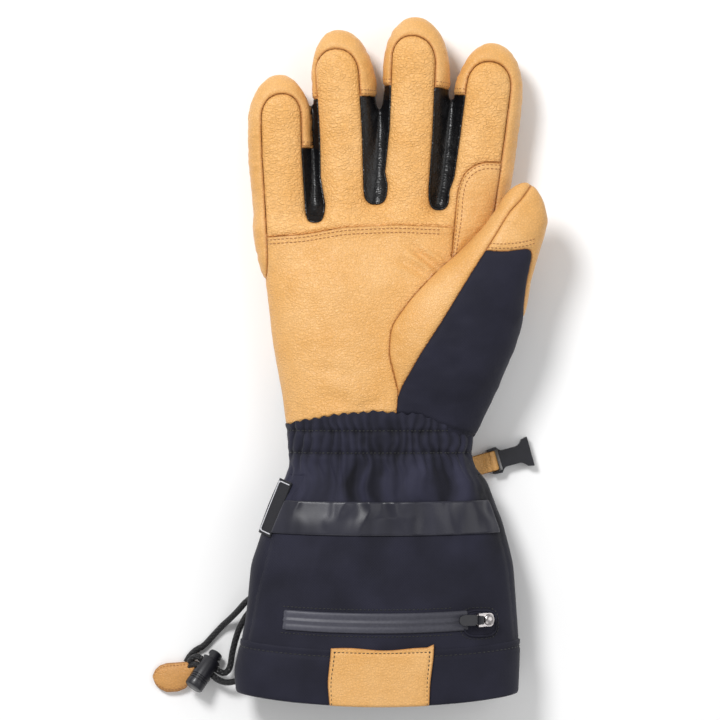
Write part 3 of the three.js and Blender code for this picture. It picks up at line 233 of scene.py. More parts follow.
def make_piece(
    name, points, faces, finishes, body="glove", nodes=(), places=None, marks=None, wall=0, smooth=True
):
    """A mesh from points in millimetres round the wrist, riding on a body. wall is its thickness, grown
    inwards."""
    mesh = bpy.data.meshes.new(name)
    spots = (np.asarray(points) + WRIST) * MM
    mesh.from_pydata(spots.tolist(), [], [tuple(int(i) for i in face) for face in faces])
    for finish in finishes:
        mesh.materials.append(finish)
    if places is not None:
        layer = mesh.uv_layers.new(name="along")
        layer.data.foreach_set("uv", np.array([uv for face in places for uv in face], np.float32).ravel())
    for mark, values in (marks or {}).items():
        mesh.attributes.new(mark, "FLOAT", "POINT").data.foreach_set("value", np.asarray(values, np.float32))
    mesh.polygons.foreach_set("use_smooth", [smooth] * len(mesh.polygons))
    mesh.update()
    piece = bpy.data.objects.new(name, mesh)
    scene.collection.objects.link(piece)
    if wall:
        thicken = piece.modifiers.new("wall", "SOLIDIFY")
        thicken.thickness = wall * MM
        thicken.offset = -1
        thicken.material_offset = 1 if len(finishes) > 1 else 0
    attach(piece, body)
    if nodes:
        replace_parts(piece, *nodes)
    return piece


def raise_relief(tree, shader, height, distance, strength):
    """Relief on a shader, distance in metres for a height of one."""
    relief = add(tree, "ShaderNodeBump", {"Height": height, "Distance": distance, "Strength": strength})
    tree.links.new(relief.outputs["Normal"], shader.inputs["Normal"])


braid, tree, shader = new_finish(
    "braided_elastic", Base_Color=colour(13, 13, 17), Roughness=0.6, Sheen_Weight=0.08
)
STRANDS_ROUND = 6
BRAID_PITCH = 2.4
lie = add(tree, "ShaderNodeSeparateXYZ", {0: add(tree, "ShaderNodeTexCoord").outputs["UV"]})
waves = []
for direction in (1, -1):
    along = add(
        tree, "ShaderNodeMath", {0: lie.outputs["Y"], 1: direction * 2 * math.pi / BRAID_PITCH},
        operation="MULTIPLY"
    )
    turn = add(
        tree, "ShaderNodeMath", {0: lie.outputs["X"], 1: 2 * math.pi * STRANDS_ROUND, 2: along.outputs[0]},
        operation="MULTIPLY_ADD"
    )
    waves.append(add(tree, "ShaderNodeMath", {0: turn.outputs[0]}, operation="SINE").outputs[0])
strands = add(tree, "ShaderNodeMath", {0: waves[0], 1: waves[1]}, operation="MAXIMUM").outputs[0]
raise_relief(tree, shader, strands, 0.0002, 0.8)
lit = add(tree, "ShaderNodeMapRange", {"Value": strands, "From Min": -0.6, "To Min": 0.35, "To Max": 0.62})
tree.links.new(lit.outputs["Result"], shader.inputs["Roughness"])

cord_pieces = {}
for name, route in CORD_ROUTES.items():
    line = smooth_line([from_hem(p) for p in route], 1.6)
    points, faces, places = tube(line, CORD_DIAMETER / 2)
    cord_pieces[name] = (
        make_piece("cord_" + name, points, faces, [braid], nodes=["drawcord_" + name], places=places), line
    )

# The cord lock.
# A moulded black barrel with a spring button in its open end grips two of the runs when the button is let
# go. Its closed end leans up off the table.
LOCK_PLACE = from_hem((-20.3, -15, 7.9))
LOCK_TILT = math.radians(19)
LOCK_TURN = math.radians(55)
LOCK_RADIUS = 4.9
LOCK_LENGTH = 17.5
LOCK_WALL = 1.1
BUTTON_RADIUS = 3.5
BUTTON_OUT = 4.5
SLOT_PLACE = 4
SLOT_LENGTH = 8.4
SLOT_HEIGHT = 4.6


def turned(profile, sides=48):
    """A closed form turned about x from a profile of (x, radius) that starts and ends on the axis."""
    points, faces = [], []
    for x, radius in profile:
        for k in range(sides):
            turn = 2 * math.pi * k / sides
            points.append((x, radius * math.cos(turn), radius * math.sin(turn)))
    for i in range(len(profile) - 1):
        for k in range(sides):
            a, b = i * sides + k, i * sides + (k + 1) % sides
            faces.append((a, a + sides, b + sides, b))
    return points, faces


def in_lock(points):
    p = np.array(points, float)
    c, s = math.cos(LOCK_TILT), math.sin(LOCK_TILT)
    p = np.stack([p[:, 0] * c + p[:, 2] * s, p[:, 1], p[:, 2] * c - p[:, 0] * s], 1)
    c, s = math.cos(LOCK_TURN), math.sin(LOCK_TURN)
    return np.stack([p[:, 0] * c - p[:, 1] * s, p[:, 0] * s + p[:, 1] * c, p[:, 2]], 1) + LOCK_PLACE


def closed(mesh, smooth_angle=35):
    """Merges doubles, turns faces outwards and shades round parts smooth."""
    form = bmesh.new()
    form.from_mesh(mesh)
    bmesh.ops.remove_doubles(form, verts=form.verts, dist=1e-6)
    bmesh.ops.dissolve_degenerate(form, edges=form.edges, dist=1e-7)
    bmesh.ops.recalc_face_normals(form, faces=form.faces)
    for edge in form.edges:
        edge.smooth = len(edge.link_faces) == 2 and edge.calc_face_angle(0) < math.radians(smooth_angle)
    for face in form.faces:
        face.smooth = True
    form.to_mesh(mesh)
    form.free()


moulded, tree, shader = new_finish("moulded_black", Roughness=0.42, Coat_Weight=0.15)
place = add(tree, "ShaderNodeTexCoord").outputs["Object"]
tone = noise(tree, place, 260.0, 4.0)
tones = two_tones(tree, tone, colour(14, 14, 20), colour(28, 28, 36))
tree.links.new(tones, shader.inputs["Base Color"])
spark = noise(tree, place, 3500.0, 2.0)
raise_relief(tree, shader, spark, 0.00006, 0.5)

half = LOCK_LENGTH / 2
RIB_PLACES = (-4.6, -3.4, -2.2)
barrel_profile = [
    (-half, 0), (-half, LOCK_RADIUS - 1), (-half + 0.3, LOCK_RADIUS - 0.35), (-half + 1, LOCK_RADIUS)
]
for rib in RIB_PLACES:
    barrel_profile += [
        (rib - 0.4, LOCK_RADIUS), (rib - 0.2, LOCK_RADIUS - 0.45), (rib + 0.2, LOCK_RADIUS - 0.45),
        (rib + 0.4, LOCK_RADIUS)
    ]
barrel_profile += [
    (half - 0.7, LOCK_RADIUS), (half - 0.15, LOCK_RADIUS - 0.25), (half, LOCK_RADIUS - 0.6),
    (half, LOCK_RADIUS - LOCK_WALL),
    (-half + 1.8, LOCK_RADIUS - LOCK_WALL), (-half + 1.8, 0),
]
button_profile = [
    (-half + 4.6, 0), (-half + 4.6, BUTTON_RADIUS), (half + BUTTON_OUT - 1.2, BUTTON_RADIUS),
    (half + BUTTON_OUT - 0.4, BUTTON_RADIUS - 0.35), (half + BUTTON_OUT, BUTTON_RADIUS - 1.1),
    (half + BUTTON_OUT - 0.15, 0),
]


def slot_cut(piece, low, high):
    """Cuts the strands' slot through a round piece, from low to high along it."""
    width = LOCK_RADIUS * 3
    box = [
        (x, y, z) for x in (low, high) for y in (-width, width) for z in (-SLOT_HEIGHT / 2, SLOT_HEIGHT / 2)
    ]
    sides = [(0, 1, 3, 2), (4, 6, 7, 5), (0, 4, 5, 1), (2, 3, 7, 6), (0, 2, 6, 4), (1, 5, 7, 3)]
    cutter_mesh = bpy.data.meshes.new("slot")
    cutter_mesh.from_pydata(((in_lock(box) + WRIST) * MM).tolist(), [], sides)
    cutter = bpy.data.objects.new("slot", cutter_mesh)
    scene.collection.objects.link(cutter)
    cut = piece.modifiers.new("slot", "BOOLEAN")
    cut.operation = "DIFFERENCE"
    cut.solver = "EXACT"
    cut.object = cutter
    bpy.context.view_layer.update()
    made = bpy.data.meshes.new_from_object(piece.evaluated_get(bpy.context.evaluated_depsgraph_get()))
    piece.modifiers.clear()
    piece.data = made
    bpy.data.objects.remove(cutter)
    closed(piece.data)


for name, profile, body, node, reach in (
    ("lock_barrel", barrel_profile, "glove", "cord_lock_barrel", 0),
    ("lock_button", button_profile, "lock_button", "cord_lock_button", 2.5),
):
    points, faces = turned(profile)
    part = make_piece(name, in_lock(points), faces, [moulded], body=body)
    closed(part.data)
    slot_cut(part, SLOT_PLACE - SLOT_LENGTH / 2, SLOT_PLACE + SLOT_LENGTH / 2 + reach)
    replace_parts(part, node)

# The drawcord's tab.
# A leather pebble folded over the ends of the runs, filled a little, sewn shut round its edge and pinched
# at the lock.
TAB_ROWS = [
    {"x": -22.9, "top": -8.9, "bottom": -11, "thickness": 6},
    {"x": -24.4, "top": -8.8, "bottom": -14, "thickness": 7.2},
    {"x": -26.5, "top": -9.1, "bottom": -19.6, "thickness": 6.6},
    {"x": -29, "top": -9.4, "bottom": -22.9, "thickness": 5.6},
    {"x": -33, "top": -9.8, "bottom": -24.6, "thickness": 5},
    {"x": -38.8, "top": -10.2, "bottom": -24.9, "thickness": 4.8},
    {"x": -42, "top": -11.3, "bottom": -23.4, "thickness": 4.3},
    {"x": -44.5, "top": -13.6, "bottom": -20.9, "thickness": 3.5},
    {"x": -45.8, "top": -16.4, "bottom": -17.8, "thickness": 1.6},
]


def lattice(points, size, seed):
    """Smooth noise from -1 to 1 over cells of that size, the same on each run."""
    p = np.asarray(points) / size + seed * 17.3
    cell = np.floor(p).astype(np.int64)
    t = p - cell
    t = t * t * (3 - 2 * t)

    def corner(i, j, k):
        n = (
            (cell[:, 0] + i) * 73856093 ^ (cell[:, 1] + j) * 19349663 ^ (cell[:, 2] + k)
            * 83492791 ^ (seed * 2654435)
        )
        n = (n ^ (n >> 13)) * 1274126177 & 0x7FFFFFFF
        return ((n ^ (n >> 16)) & 0xFFFF) / 32767.5 - 1

    total = 0
    for i in (0, 1):
        for j in (0, 1):
            for k in (0, 1):
                share = (
                    (t[:, 0] if i else 1 - t[:, 0]) * (t[:, 1] if j else 1 - t[:, 1])
                    * (t[:, 2] if k else 1 - t[:, 2])
                )
                total = total + share * corner(i, j, k)
    return total


def leather_finish(name, light, dark, deep, roughness=0.44, grain=0.00025, flexing=0.00055):
    """Pebbled hide: clouds of colour, fine pores, cross creases where the mark flex says that it bends, with
    painted shade in their valleys and painted light on their crests, and a deeper tone where the mark seam
    says that a sewn edge is near, partly the edge's own colour and partly painted shade in the seam's dip."""
    made, tree, shader = new_finish(name, Roughness=roughness, Specular_IOR_Level=0.4)
    place = add(tree, "ShaderNodeTexCoord").outputs["Object"]
    clouds = add(
        tree, "ShaderNodeTexNoise", {"Vector": place, "Scale": 38.0, "Detail": 5.0, "Roughness": 0.6}
    )
    tones = two_tones(tree, clouds.outputs["Fac"], dark, light, 0.34, 0.66)
    # Partly painted shade: near a sewn edge the colour runs into the deep tone, for the edge's own darker
    # colour and for the shade in the seam's dip.
    seam = add(tree, "ShaderNodeAttribute", attribute_name="seam").outputs["Fac"]
    near = add(
        tree, "ShaderNodeMapRange",
        {"Value": seam, "From Min": 0.1, "From Max": 1.0, "To Min": 0.8, "To Max": 0.0}
    )
    near.interpolation_type = "SMOOTHSTEP"
    tone = add(tree, "ShaderNodeMix", {0: near.outputs["Result"], 6: tones, 7: deep}, data_type="RGBA")
    pores = add(tree, "ShaderNodeTexVoronoi", {"Vector": place, "Scale": 800.0}, feature="DISTANCE_TO_EDGE")
    pore_edge = add(
        tree, "ShaderNodeMapRange", {"Value": pores.outputs["Distance"], "From Max": 0.25}
    ).outputs["Result"]
    stretched = add(
        tree, "ShaderNodeMapping", {"Vector": place, "Scale": (0.55, 1.0, 0.75)}
    ).outputs["Vector"]
    drift = add(tree, "ShaderNodeTexNoise", {"Vector": place, "Scale": 260.0, "Detail": 2.0}).outputs["Color"]
    warped = add(
        tree, "ShaderNodeVectorMath", {0: drift, 1: (0.0022,) * 3, 2: stretched}, operation="MULTIPLY_ADD"
    ).outputs[0]
    cells = add(
        tree, "ShaderNodeTexVoronoi", {"Vector": warped, "Scale": 660.0}, feature="DISTANCE_TO_EDGE"
    ).outputs["Distance"]
    plump = add(tree, "ShaderNodeMapRange", {"Value": cells, "From Max": 0.3})
    plump.interpolation_type = "SMOOTHSTEP"
    ripples = add(
        tree, "ShaderNodeTexNoise", {"Vector": stretched, "Scale": 300.0, "Detail": 2.0, "Distortion": 1.2}
    )
    ripples = add(
        tree, "ShaderNodeMath", {0: plump.outputs["Result"], 1: 0.55, 2: ripples.outputs["Fac"]},
        operation="MULTIPLY_ADD"
    )
    flex = add(tree, "ShaderNodeAttribute", attribute_name="flex").outputs["Fac"]
    bent = add(tree, "ShaderNodeMath", {0: ripples.outputs[0], 1: flex}, operation="MULTIPLY").outputs[0]
    # Painted shade and light: the colour is darkened in the creases' valleys and lightened on their crests,
    # by the same heights that raise their relief.
    painted_crease_shade = add(
        tree, "ShaderNodeMapRange",
        {"Value": bent, "From Min": 0.3, "From Max": 1.0, "To Min": 0.93, "To Max": 1.05}
    ).outputs["Result"]
    tone = add(tree, "ShaderNodeVectorMath", {0: tone.outputs[2], "Scale": painted_crease_shade}, operation="SCALE")
    specks = add(
        tree, "ShaderNodeMix", {0: 0.14, 6: tone.outputs["Vector"], 7: pore_edge}, data_type="RGBA",
        blend_type="MULTIPLY"
    )
    tree.links.new(specks.outputs[2], shader.inputs["Base Color"])
    fine = add(
        tree, "ShaderNodeTexNoise", {"Vector": place, "Scale": 420.0, "Detail": 6.0, "Roughness": 0.65}
    )
    height = add(
        tree, "ShaderNodeMath", {0: pore_edge, 1: 0.45, 2: fine.outputs["Fac"]}, operation="MULTIPLY_ADD"
    )
    relief = add(tree, "ShaderNodeBump", {"Height": height.outputs[0], "Distance": grain, "Strength": 0.6})
    creased = add(
        tree, "ShaderNodeBump",
        {"Height": bent, "Distance": flexing, "Strength": 0.8, "Normal": relief.outputs["Normal"]}
    )
    tree.links.new(creased.outputs["Normal"], shader.inputs["Normal"])
    gloss = add(
        tree, "ShaderNodeMapRange",
        {
            "Value": fine.outputs["Fac"], "From Min": 0.3, "From Max": 0.7, "To Min": roughness - 0.08,
            "To Max": roughness + 0.1
        },
    )
    tree.links.new(gloss.outputs["Result"], shader.inputs["Roughness"])
    return made


# The third tone of each leather is its colour beside a seam, partly painted shade.
tan_leather = leather_finish("tan_leather", colour(240, 186, 118), colour(231, 172, 97), colour(184, 118, 58))
tab_leather = leather_finish("tab_leather", colour(222, 164, 96), colour(204, 144, 78), colour(150, 96, 42))


def stitching_tree():
    """Thread sewn along lines: one low lozenge for each stitch, at the seam's own pitch."""
    tree = bpy.data.node_groups.new("stitching", "GeometryNodeTree")
    tree.interface.new_socket("Seam lines", in_out="INPUT", socket_type="NodeSocketGeometry")
    for socket in ("Pitch", "Stitch length", "Thread"):
        tree.interface.new_socket(socket, in_out="INPUT", socket_type="NodeSocketFloat")
    tree.interface.new_socket("Thread finish", in_out="INPUT", socket_type="NodeSocketMaterial")
    tree.interface.new_socket("Stitches", in_out="OUTPUT", socket_type="NodeSocketGeometry")
    given = add(tree, "NodeGroupInput").outputs
    spots = add(
        tree, "GeometryNodeCurveToPoints", {"Curve": given["Seam lines"], "Length": given["Pitch"]},
        mode="LENGTH"
    )
    bead = add(tree, "GeometryNodeMeshUVSphere", {"Segments": 6, "Rings": 4, "Radius": 0.5})
    size = add(
        tree, "ShaderNodeCombineXYZ",
        {"X": given["Thread"], "Y": given["Thread"], "Z": given["Stitch length"]}
    )
    placed = add(
        tree, "GeometryNodeInstanceOnPoints",
        {
            "Points": spots.outputs["Points"], "Instance": bead.outputs["Mesh"],
            "Rotation": spots.outputs["Rotation"], "Scale": size.outputs["Vector"]
        },
    )
    real = add(tree, "GeometryNodeRealizeInstances", {"Geometry": placed.outputs["Instances"]})
    coloured = add(
        tree, "GeometryNodeSetMaterial",
        {"Geometry": real.outputs["Geometry"], "Material": given["Thread finish"]}
    )
    tree.links.new(coloured.outputs["Geometry"], add(tree, "NodeGroupOutput").inputs["Stitches"])
    return tree


stitching = stitching_tree()


def sew(name, lines, finish, pitch=2.1, stitch=1.6, thread=0.55, body="glove"):
    """Sews thread along lines of points in millimetres."""
    curve = bpy.data.curves.new(name, "CURVE")
    curve.dimensions = "3D"
    for line in lines:
        spline = curve.splines.new("POLY")
        spline.points.add(len(line) - 1)
        spots = (np.asarray(line) + WRIST) * MM
        spline.points.foreach_set("co", np.hstack([spots, np.ones((len(spots), 1))]).ravel())
    guide = bpy.data.objects.new(name + "_guide", curve)
    scene.collection.objects.link(guide)
    modifier = guide.modifiers.new("stitches", "NODES")
    modifier.node_group = stitching
    values = {
        "Pitch": pitch * MM, "Stitch length": stitch * MM, "Thread": thread * MM, "Thread finish": finish
    }
    for item in stitching.interface.items_tree:
        if item.item_type == "SOCKET" and item.name in values:
            modifier[item.identifier] = values[item.name]
    bpy.context.view_layer.update()
    mesh = bpy.data.meshes.new_from_object(guide.evaluated_get(bpy.context.evaluated_depsgraph_get()))
    modifier.node_group = None
    bpy.data.objects.remove(guide)
    mesh.polygons.foreach_set("use_smooth", [True] * len(mesh.polygons))
    seam = bpy.data.objects.new(name, mesh)
    scene.collection.objects.link(seam)
    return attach(seam, body)


def thread_finish(name, tone):
    made, tree, shader = new_finish(name, Roughness=0.55, Sheen_Weight=0.2)
    place = add(tree, "ShaderNodeTexCoord").outputs["Object"]
    ply = noise(tree, place, 1800.0, 2.0)
    shade = add(tree, "ShaderNodeMix", {0: 0.5, 6: tone, 7: ply}, data_type="RGBA", blend_type="MULTIPLY")
    tree.links.new(shade.outputs[2], shader.inputs["Base Color"])
    raise_relief(tree, shader, ply, 0.0001, 0.7)
    return made


tan_thread = thread_finish("tan_thread", colour(186, 124, 66))

SIDES = 40
SQUARENESS = 2.4
points, faces, edge_marks = [], [], []
tab_columns = {key: [row[key] for row in TAB_ROWS] for key in TAB_ROWS[0]}
stations = np.linspace(0, len(TAB_ROWS) - 1, 44)
for at in stations:
    x, top, bottom, thickness = (
        np.interp(at, range(len(TAB_ROWS)), tab_columns[key]) for key in ("x", "top", "bottom", "thickness")
    )
    for k in range(SIDES):
        turn = 2 * math.pi * k / SIDES
        c, s = math.cos(turn), math.sin(turn)
        across, up = (math.copysign(abs(v) ** (2 / SQUARENESS), v) for v in (c, s))
        crease = 0.5 * math.exp(-((abs(c) - 0.86) / 0.05) ** 2) * (s > 0)
        points.append(
            from_hem(
                (
                    x, (top + bottom) / 2 + across * (top - bottom) / 2,
                    max(0, thickness / 2 + up * thickness / 2 - crease)
                )
            )
        )
        edge_marks.append(0.2 + 0.8 * (1 - abs(across)) * (top - bottom) / 2)
for i in range(len(stations) - 1):
    for k in range(SIDES):
        a, b = i * SIDES + k, i * SIDES + (k + 1) % SIDES
        faces.append((a, a + SIDES, b + SIDES, b))
faces.append(tuple(range(SIDES)))
faces.append(tuple((len(stations) - 1) * SIDES + k for k in range(SIDES))[::-1])
points = np.array(points)
points[:, 2] += 0.25 * lattice(points, 5, 3) * (points[:, 2] > 1)
tab = make_piece(
    "drawcord_tab", points, faces, [tab_leather], nodes=["cord_tab"],
    marks={"seam": edge_marks, "flex": np.full(len(points), 0.3)}
)
TAB_INSET = 1.3
sides = {1: [], -1: []}
for at in stations[14:-4]:
    x, top, bottom, thickness = (
        np.interp(at, range(len(TAB_ROWS)), tab_columns[key]) for key in ("x", "top", "bottom", "thickness")
    )
    share = 1 - TAB_INSET / ((top - bottom) / 2)
    rise = thickness / 2 * (1 + (1 - share**SQUARENESS) ** (1 / SQUARENESS)) + 0.1
    for way, line in sides.items():
        line.append(from_hem((x, (top + bottom) / 2 + way * share * (top - bottom) / 2, rise)))
sew("tab_stitches", [sides[-1] + sides[1][::-1]], tan_thread, pitch=1.7, stitch=1.2, thread=0.45)

for name, (piece, line) in cord_pieces.items():
    route = ((line + WRIST) * MM).tolist()
    length = float(np.linalg.norm(np.diff(line, axis=0), axis=1).sum() * MM)

# The hand.
# Leather and softshell panels over padding are sewn edge to edge into a palm, four fingers and a thumb that
# leans across the palm. All their panels are cut from the one puffed form that this section makes.
PALM_LENGTH = 117
PALM_WIDTH = 125
FLATTENED = 2.4
BODY_ROWS = [
    {"y": 117, "half": 62.5, "shift": 0, "thickness": 30},
    {"y": 110, "half": 61.5, "shift": 0, "thickness": 30},
    {"y": 84.2, "half": 57.5, "shift": 0, "thickness": 36.4},
    {"y": 56.2, "half": 53.5, "shift": -0.5, "thickness": 38},
    {"y": 28.1, "half": 49, "shift": 0, "thickness": 38.8},
    {"y": 0, "half": 45.5, "shift": 0, "thickness": 40},
    {"y": -7, "half": 46.3, "shift": 1.3, "thickness": 40.3},
    {"y": -12.3, "half": 50.1, "shift": 3.1, "thickness": 41},
    {"y": -18, "half": 53, "shift": 2.5, "thickness": 41.9},
    {"y": -34.4, "half": 59.5, "shift": 2, "thickness": 44},
    {"y": -56, "half": 65.5, "shift": 1, "thickness": 45.9},
    {"y": -84, "half": 67.8, "shift": 0.7, "thickness": 47.2},
    {"y": -98, "half": 69.5, "shift": 0, "thickness": 47.7},
    {"y": -112, "half": 70.7, "shift": -1.7, "thickness": 48},
    {"y": -123, "half": 70, "shift": -1.4, "thickness": 48},
]
FINGERS = [
    {
        "name": "little", "root": -0.382, "length": 73, "width": 30.5, "thickness": 27, "lean": -1.9,
        "bow": -1.5, "cap": 37, "left": 0.59, "right": 0.78
    },
    {
        "name": "ring", "root": -0.136, "length": 95.5, "width": 31, "thickness": 28, "lean": -2.4, "bow": 2,
        "cap": 34, "left": 0.9, "right": 0.54
    },
    {
        "name": "middle", "root": 0.092, "length": 102, "width": 32.5, "thickness": 28.5, "lean": 3.5,
        "bow": 2.8, "cap": 35, "left": 0.8, "right": 0.6
    },
    {
        "name": "index", "root": 0.367, "length": 89.5, "width": 33.5, "thickness": 28, "lean": 7.5,
        "bow": 0.6, "cap": 28, "left": 0.75, "right": 0.63
    },
]
FINGER_CURL = 5
FINGER_OVERLAP = 16
ARCH_DEPTH = 9.5
THUMB = {
    "x": 23, "y": 21.8, "length": 124.5, "half": 30.5, "rise": 20.5, "lean": 25.5, "base": 20.8, "lift": 15.5
}
THUMB_ROWS = [
    {"along": -0.17, "left": 0.9, "right": 0.5, "thick": 0.62, "shift": 0.36},
    {"along": 0.02, "left": 1.5, "right": 0.7, "thick": 0.83, "shift": 0.2},
    {"along": 0.12, "left": 1.36, "right": 0.85, "thick": 0.95, "shift": 0.04},
    {"along": 0.25, "left": 1.24, "right": 0.96, "thick": 1, "shift": -0.07},
    {"along": 0.394, "left": 1.02, "right": 0.94, "thick": 0.93, "shift": -0.08},
    {"along": 0.512, "left": 0.84, "right": 0.82, "thick": 0.86, "shift": -0.04},
    {"along": 0.63, "left": 0.636, "right": 0.66, "thick": 0.78, "shift": -0.016},
    {"along": 0.748, "left": 0.472, "right": 0.55, "thick": 0.67, "shift": 0},
    {"along": 0.866, "left": 0.39, "right": 0.47, "thick": 0.55, "shift": 0.01},
    {"along": 1, "left": 0.32, "right": 0.37, "thick": 0.42, "shift": -0.08},
]


def eased(rows, key, column, soften):
    """A column of a table as a smooth function of its key."""
    rows = sorted(rows, key=lambda row: row[key])
    at = np.linspace(rows[0][key], rows[-1][key], 600)
    values = np.interp(at, [row[key] for row in rows], [row[column] for row in rows])
    reach = max(1, round(soften / (at[1] - at[0])))
    weights = np.hanning(2 * reach + 3)[1:-1]
    padded = np.concatenate(
        [2 * values[0] - values[reach:0:-1], values, 2 * values[-1] - values[-2 : -reach - 2 : -1]]
    )
    values = np.convolve(padded, weights / weights.sum(), "valid")
    return lambda y: np.interp(y, at, values)


body_half, body_shift, body_thickness = (
    eased(BODY_ROWS, "y", column, 6) for column in ("half", "shift", "thickness")
)
thumb_left, thumb_right, thumb_thick, thumb_shift = (
    eased(THUMB_ROWS, "along", column, 0.06) for column in ("left", "right", "thick", "shift")
)


def rounded(across, up, closing=0, closing_scale=1):
    """How far a point is from a squarish oval, to the first order. across and up are (distance, half size)
    pairs."""
    u, v = np.abs(across[0] / across[1]), np.abs(up[0] / up[1])
    ring = (u**SQUARENESS + v**SQUARENESS) ** (1 / SQUARENESS) + 1e-9
    slope = np.hypot((u / ring) ** (SQUARENESS - 1) / across[1], (v / ring) ** (SQUARENESS - 1) / up[1])
    whole = np.sqrt(ring**2 + closing**2)
    steep = np.hypot(slope * ring / whole, closing / whole / closing_scale)
    return (whole - 1) / np.maximum(steep, 1e-4)


def finger_place(finger, x, y):
    """Where a point lies along a finger and beside its middle line."""
    lean = math.radians(finger["lean"])
    dx, dy = x - finger["root"] * PALM_WIDTH, y - PALM_LENGTH
    along = dx * math.sin(lean) + dy * math.cos(lean)
    share = np.clip(along / finger["length"], 0, 1)
    side = dx * math.cos(lean) - dy * math.sin(lean) - finger["bow"] * 4 * share * (1 - share)
    return along, side


def finger_point(finger, along, side=0):
    lean = math.radians(finger["lean"])
    share = np.clip(along / finger["length"], 0, 1)
    side = side + finger["bow"] * 4 * share * (1 - share)
    x = finger["root"] * PALM_WIDTH + math.sin(lean) * along + math.cos(lean) * side
    return x, PALM_LENGTH + math.cos(lean) * along - math.sin(lean) * side


def finger_form(finger, x, y, z):
    along, side = finger_place(finger, x, y)
    length = finger["length"]
    half = finger["width"] / 2 * np.interp(along, [-FINGER_OVERLAP, 0, 0.4 * length], [0.8, 0.98, 1])
    middle = (finger["thickness"] - FLATTENED) / 2 + FINGER_CURL * np.clip(along / length, 0, 1) ** 2
    tip = 0.8 * finger["width"]
    closing = np.maximum(0, (along - length + tip) / tip) + np.maximum(0, (-FINGER_OVERLAP - along) / 12)
    return rounded((side, half), (z - middle, finger["thickness"] / 2), closing, tip)


def thumb_place(x, y):
    lean = math.radians(THUMB["lean"])
    dx, dy = x - THUMB["x"], y - THUMB["y"]
    return dx * math.sin(lean) + dy * math.cos(lean), dx * math.cos(lean) - dy * math.sin(lean)


def thumb_middle(along):
    return THUMB["base"] + THUMB["lift"] * along / THUMB["length"]


THUMB_TIP = 17


def thumb_form(x, y, z):
    along, side = thumb_place(x, y)
    share = along / THUMB["length"]
    closing = (
        np.maximum(0, (along - THUMB["length"] + THUMB_TIP) / THUMB_TIP) + np.maximum(0, (-0.17 - share) * 10)
    )
    beside = side - thumb_shift(share) * THUMB["half"]
    reach = np.where(beside < 0, thumb_left(share), thumb_right(share)) * THUMB["half"]
    return rounded(
        (beside, reach), (z - thumb_middle(along), thumb_thick(share) * THUMB["rise"]), closing, THUMB_TIP
    )


def merged(a, b, radius):
    """Joins two forms with a fillet."""
    blend = np.maximum(radius - np.abs(a - b), 0) / radius
    return np.minimum(a, b) - blend**2 * radius / 4


KNUCKLE_ROUND = 10


def palm_form(x, y, z):
    thickness = body_thickness(y)
    closing = np.maximum(0, (y - PALM_LENGTH + KNUCKLE_ROUND / 2) / KNUCKLE_ROUND)
    return rounded(
        (x - body_shift(y), body_half(y)), (z - (thickness - FLATTENED) / 2, (thickness + FLATTENED) / 2),
        closing, KNUCKLE_ROUND
    )


FORK_WEB = 9.5  # fills the narrow of the fork between two fingers
TUCK = 0.7  # the panels' fullness stands on a slightly smaller form


def hand_parts(p):
    """The palm with its fingers, and the thumb, as two forms."""
    x, y, z = p[..., 0], p[..., 1], p[..., 2]
    fingers = finger_form(FINGERS[0], x, y, z)
    for finger in FINGERS[1:]:
        fingers = merged(fingers, finger_form(finger, x, y, z), FORK_WEB)
    return merged(palm_form(x, y, z), fingers, 7), thumb_form(x, y, z)


def hand_form(p):
    whole = merged(*hand_parts(p), 2.5) + TUCK
    return -merged(-whole, p[..., 2], 4)


def slope_of(form, p, step=0.2):
    made = []
    for axis in range(3):
        aside = np.zeros(3)
        aside[axis] = step
        made.append((form(p + aside) - form(p - aside)) / (2 * step))
    return np.stack(made, -1)


def skin(form, low, high, step):
    """A mesh of quads on the surface of a form, one point for each cell that the surface runs through."""
    axes = [np.arange(a, b + step, step) for a, b in zip(low, high)]
    shape = [len(axis) for axis in axes]
    values = np.empty(shape, np.float32)
    for i, x in enumerate(axes[0]):
        grid = np.stack(np.meshgrid([x], axes[1], axes[2], indexing="ij"), -1)[0]
        values[i] = form(grid)
    inside = values < 0
    cells = [n - 1 for n in shape]
    some, every = np.zeros(cells, bool), np.ones(cells, bool)
    offsets = [(i, j, k) for i in (0, 1) for j in (0, 1) for k in (0, 1)]
    for i, j, k in offsets:
        part = inside[i : i + cells[0], j : j + cells[1], k : k + cells[2]]
        some |= part
        every &= part
    active = np.argwhere(some & ~every)
    number = np.full(cells, -1)
    number[tuple(active.T)] = np.arange(len(active))
    total, count = np.zeros((len(active), 3)), np.zeros(len(active))
    for a in offsets:
        for axis in range(3):
            if a[axis]:
                continue
            b = tuple(v + (n == axis) for n, v in enumerate(a))
            va = values[tuple((active + a).T)]
            vb = values[tuple((active + b).T)]
            crosses = (va < 0) != (vb < 0)
            share = np.where(crosses, va / np.where(crosses, va - vb, 1), 0)
            spot = active + np.array(a) + share[:, None] * (np.array(b) - np.array(a))
            total += np.where(crosses[:, None], spot, 0)
            count += crosses
    points = np.array(low) + total / count[:, None] * step
    quads = []
    for axis in range(3):
        u, v = [n for n in range(3) if n != axis]
        ahead = np.zeros(3, int)
        ahead[axis] = 1
        first = inside[: shape[0] - ahead[0], : shape[1] - ahead[1], : shape[2] - ahead[2]]
        second = inside[ahead[0] :, ahead[1] :, ahead[2] :]
        for leaving in (True, False):
            edges = np.argwhere((first & ~second) if leaving else (second & ~first))
            edges = edges[
                (edges[:, u] > 0) & (edges[:, v] > 0) & (edges[:, u] < cells[u]) & (edges[:, v] < cells[v])
            ]
            around = []
            for du, dv in ((-1, -1), (0, -1), (0, 0), (-1, 0)):
                cell = edges.copy()
                cell[:, u] += du
                cell[:, v] += dv
                around.append(number[tuple(cell.T)])
            quad = np.stack(around, 1)
            quads.append(quad if leaving == (axis != 1) else quad[:, ::-1])
    quads = np.vstack(quads)
    return points, quads[(quads >= 0).all(1)]


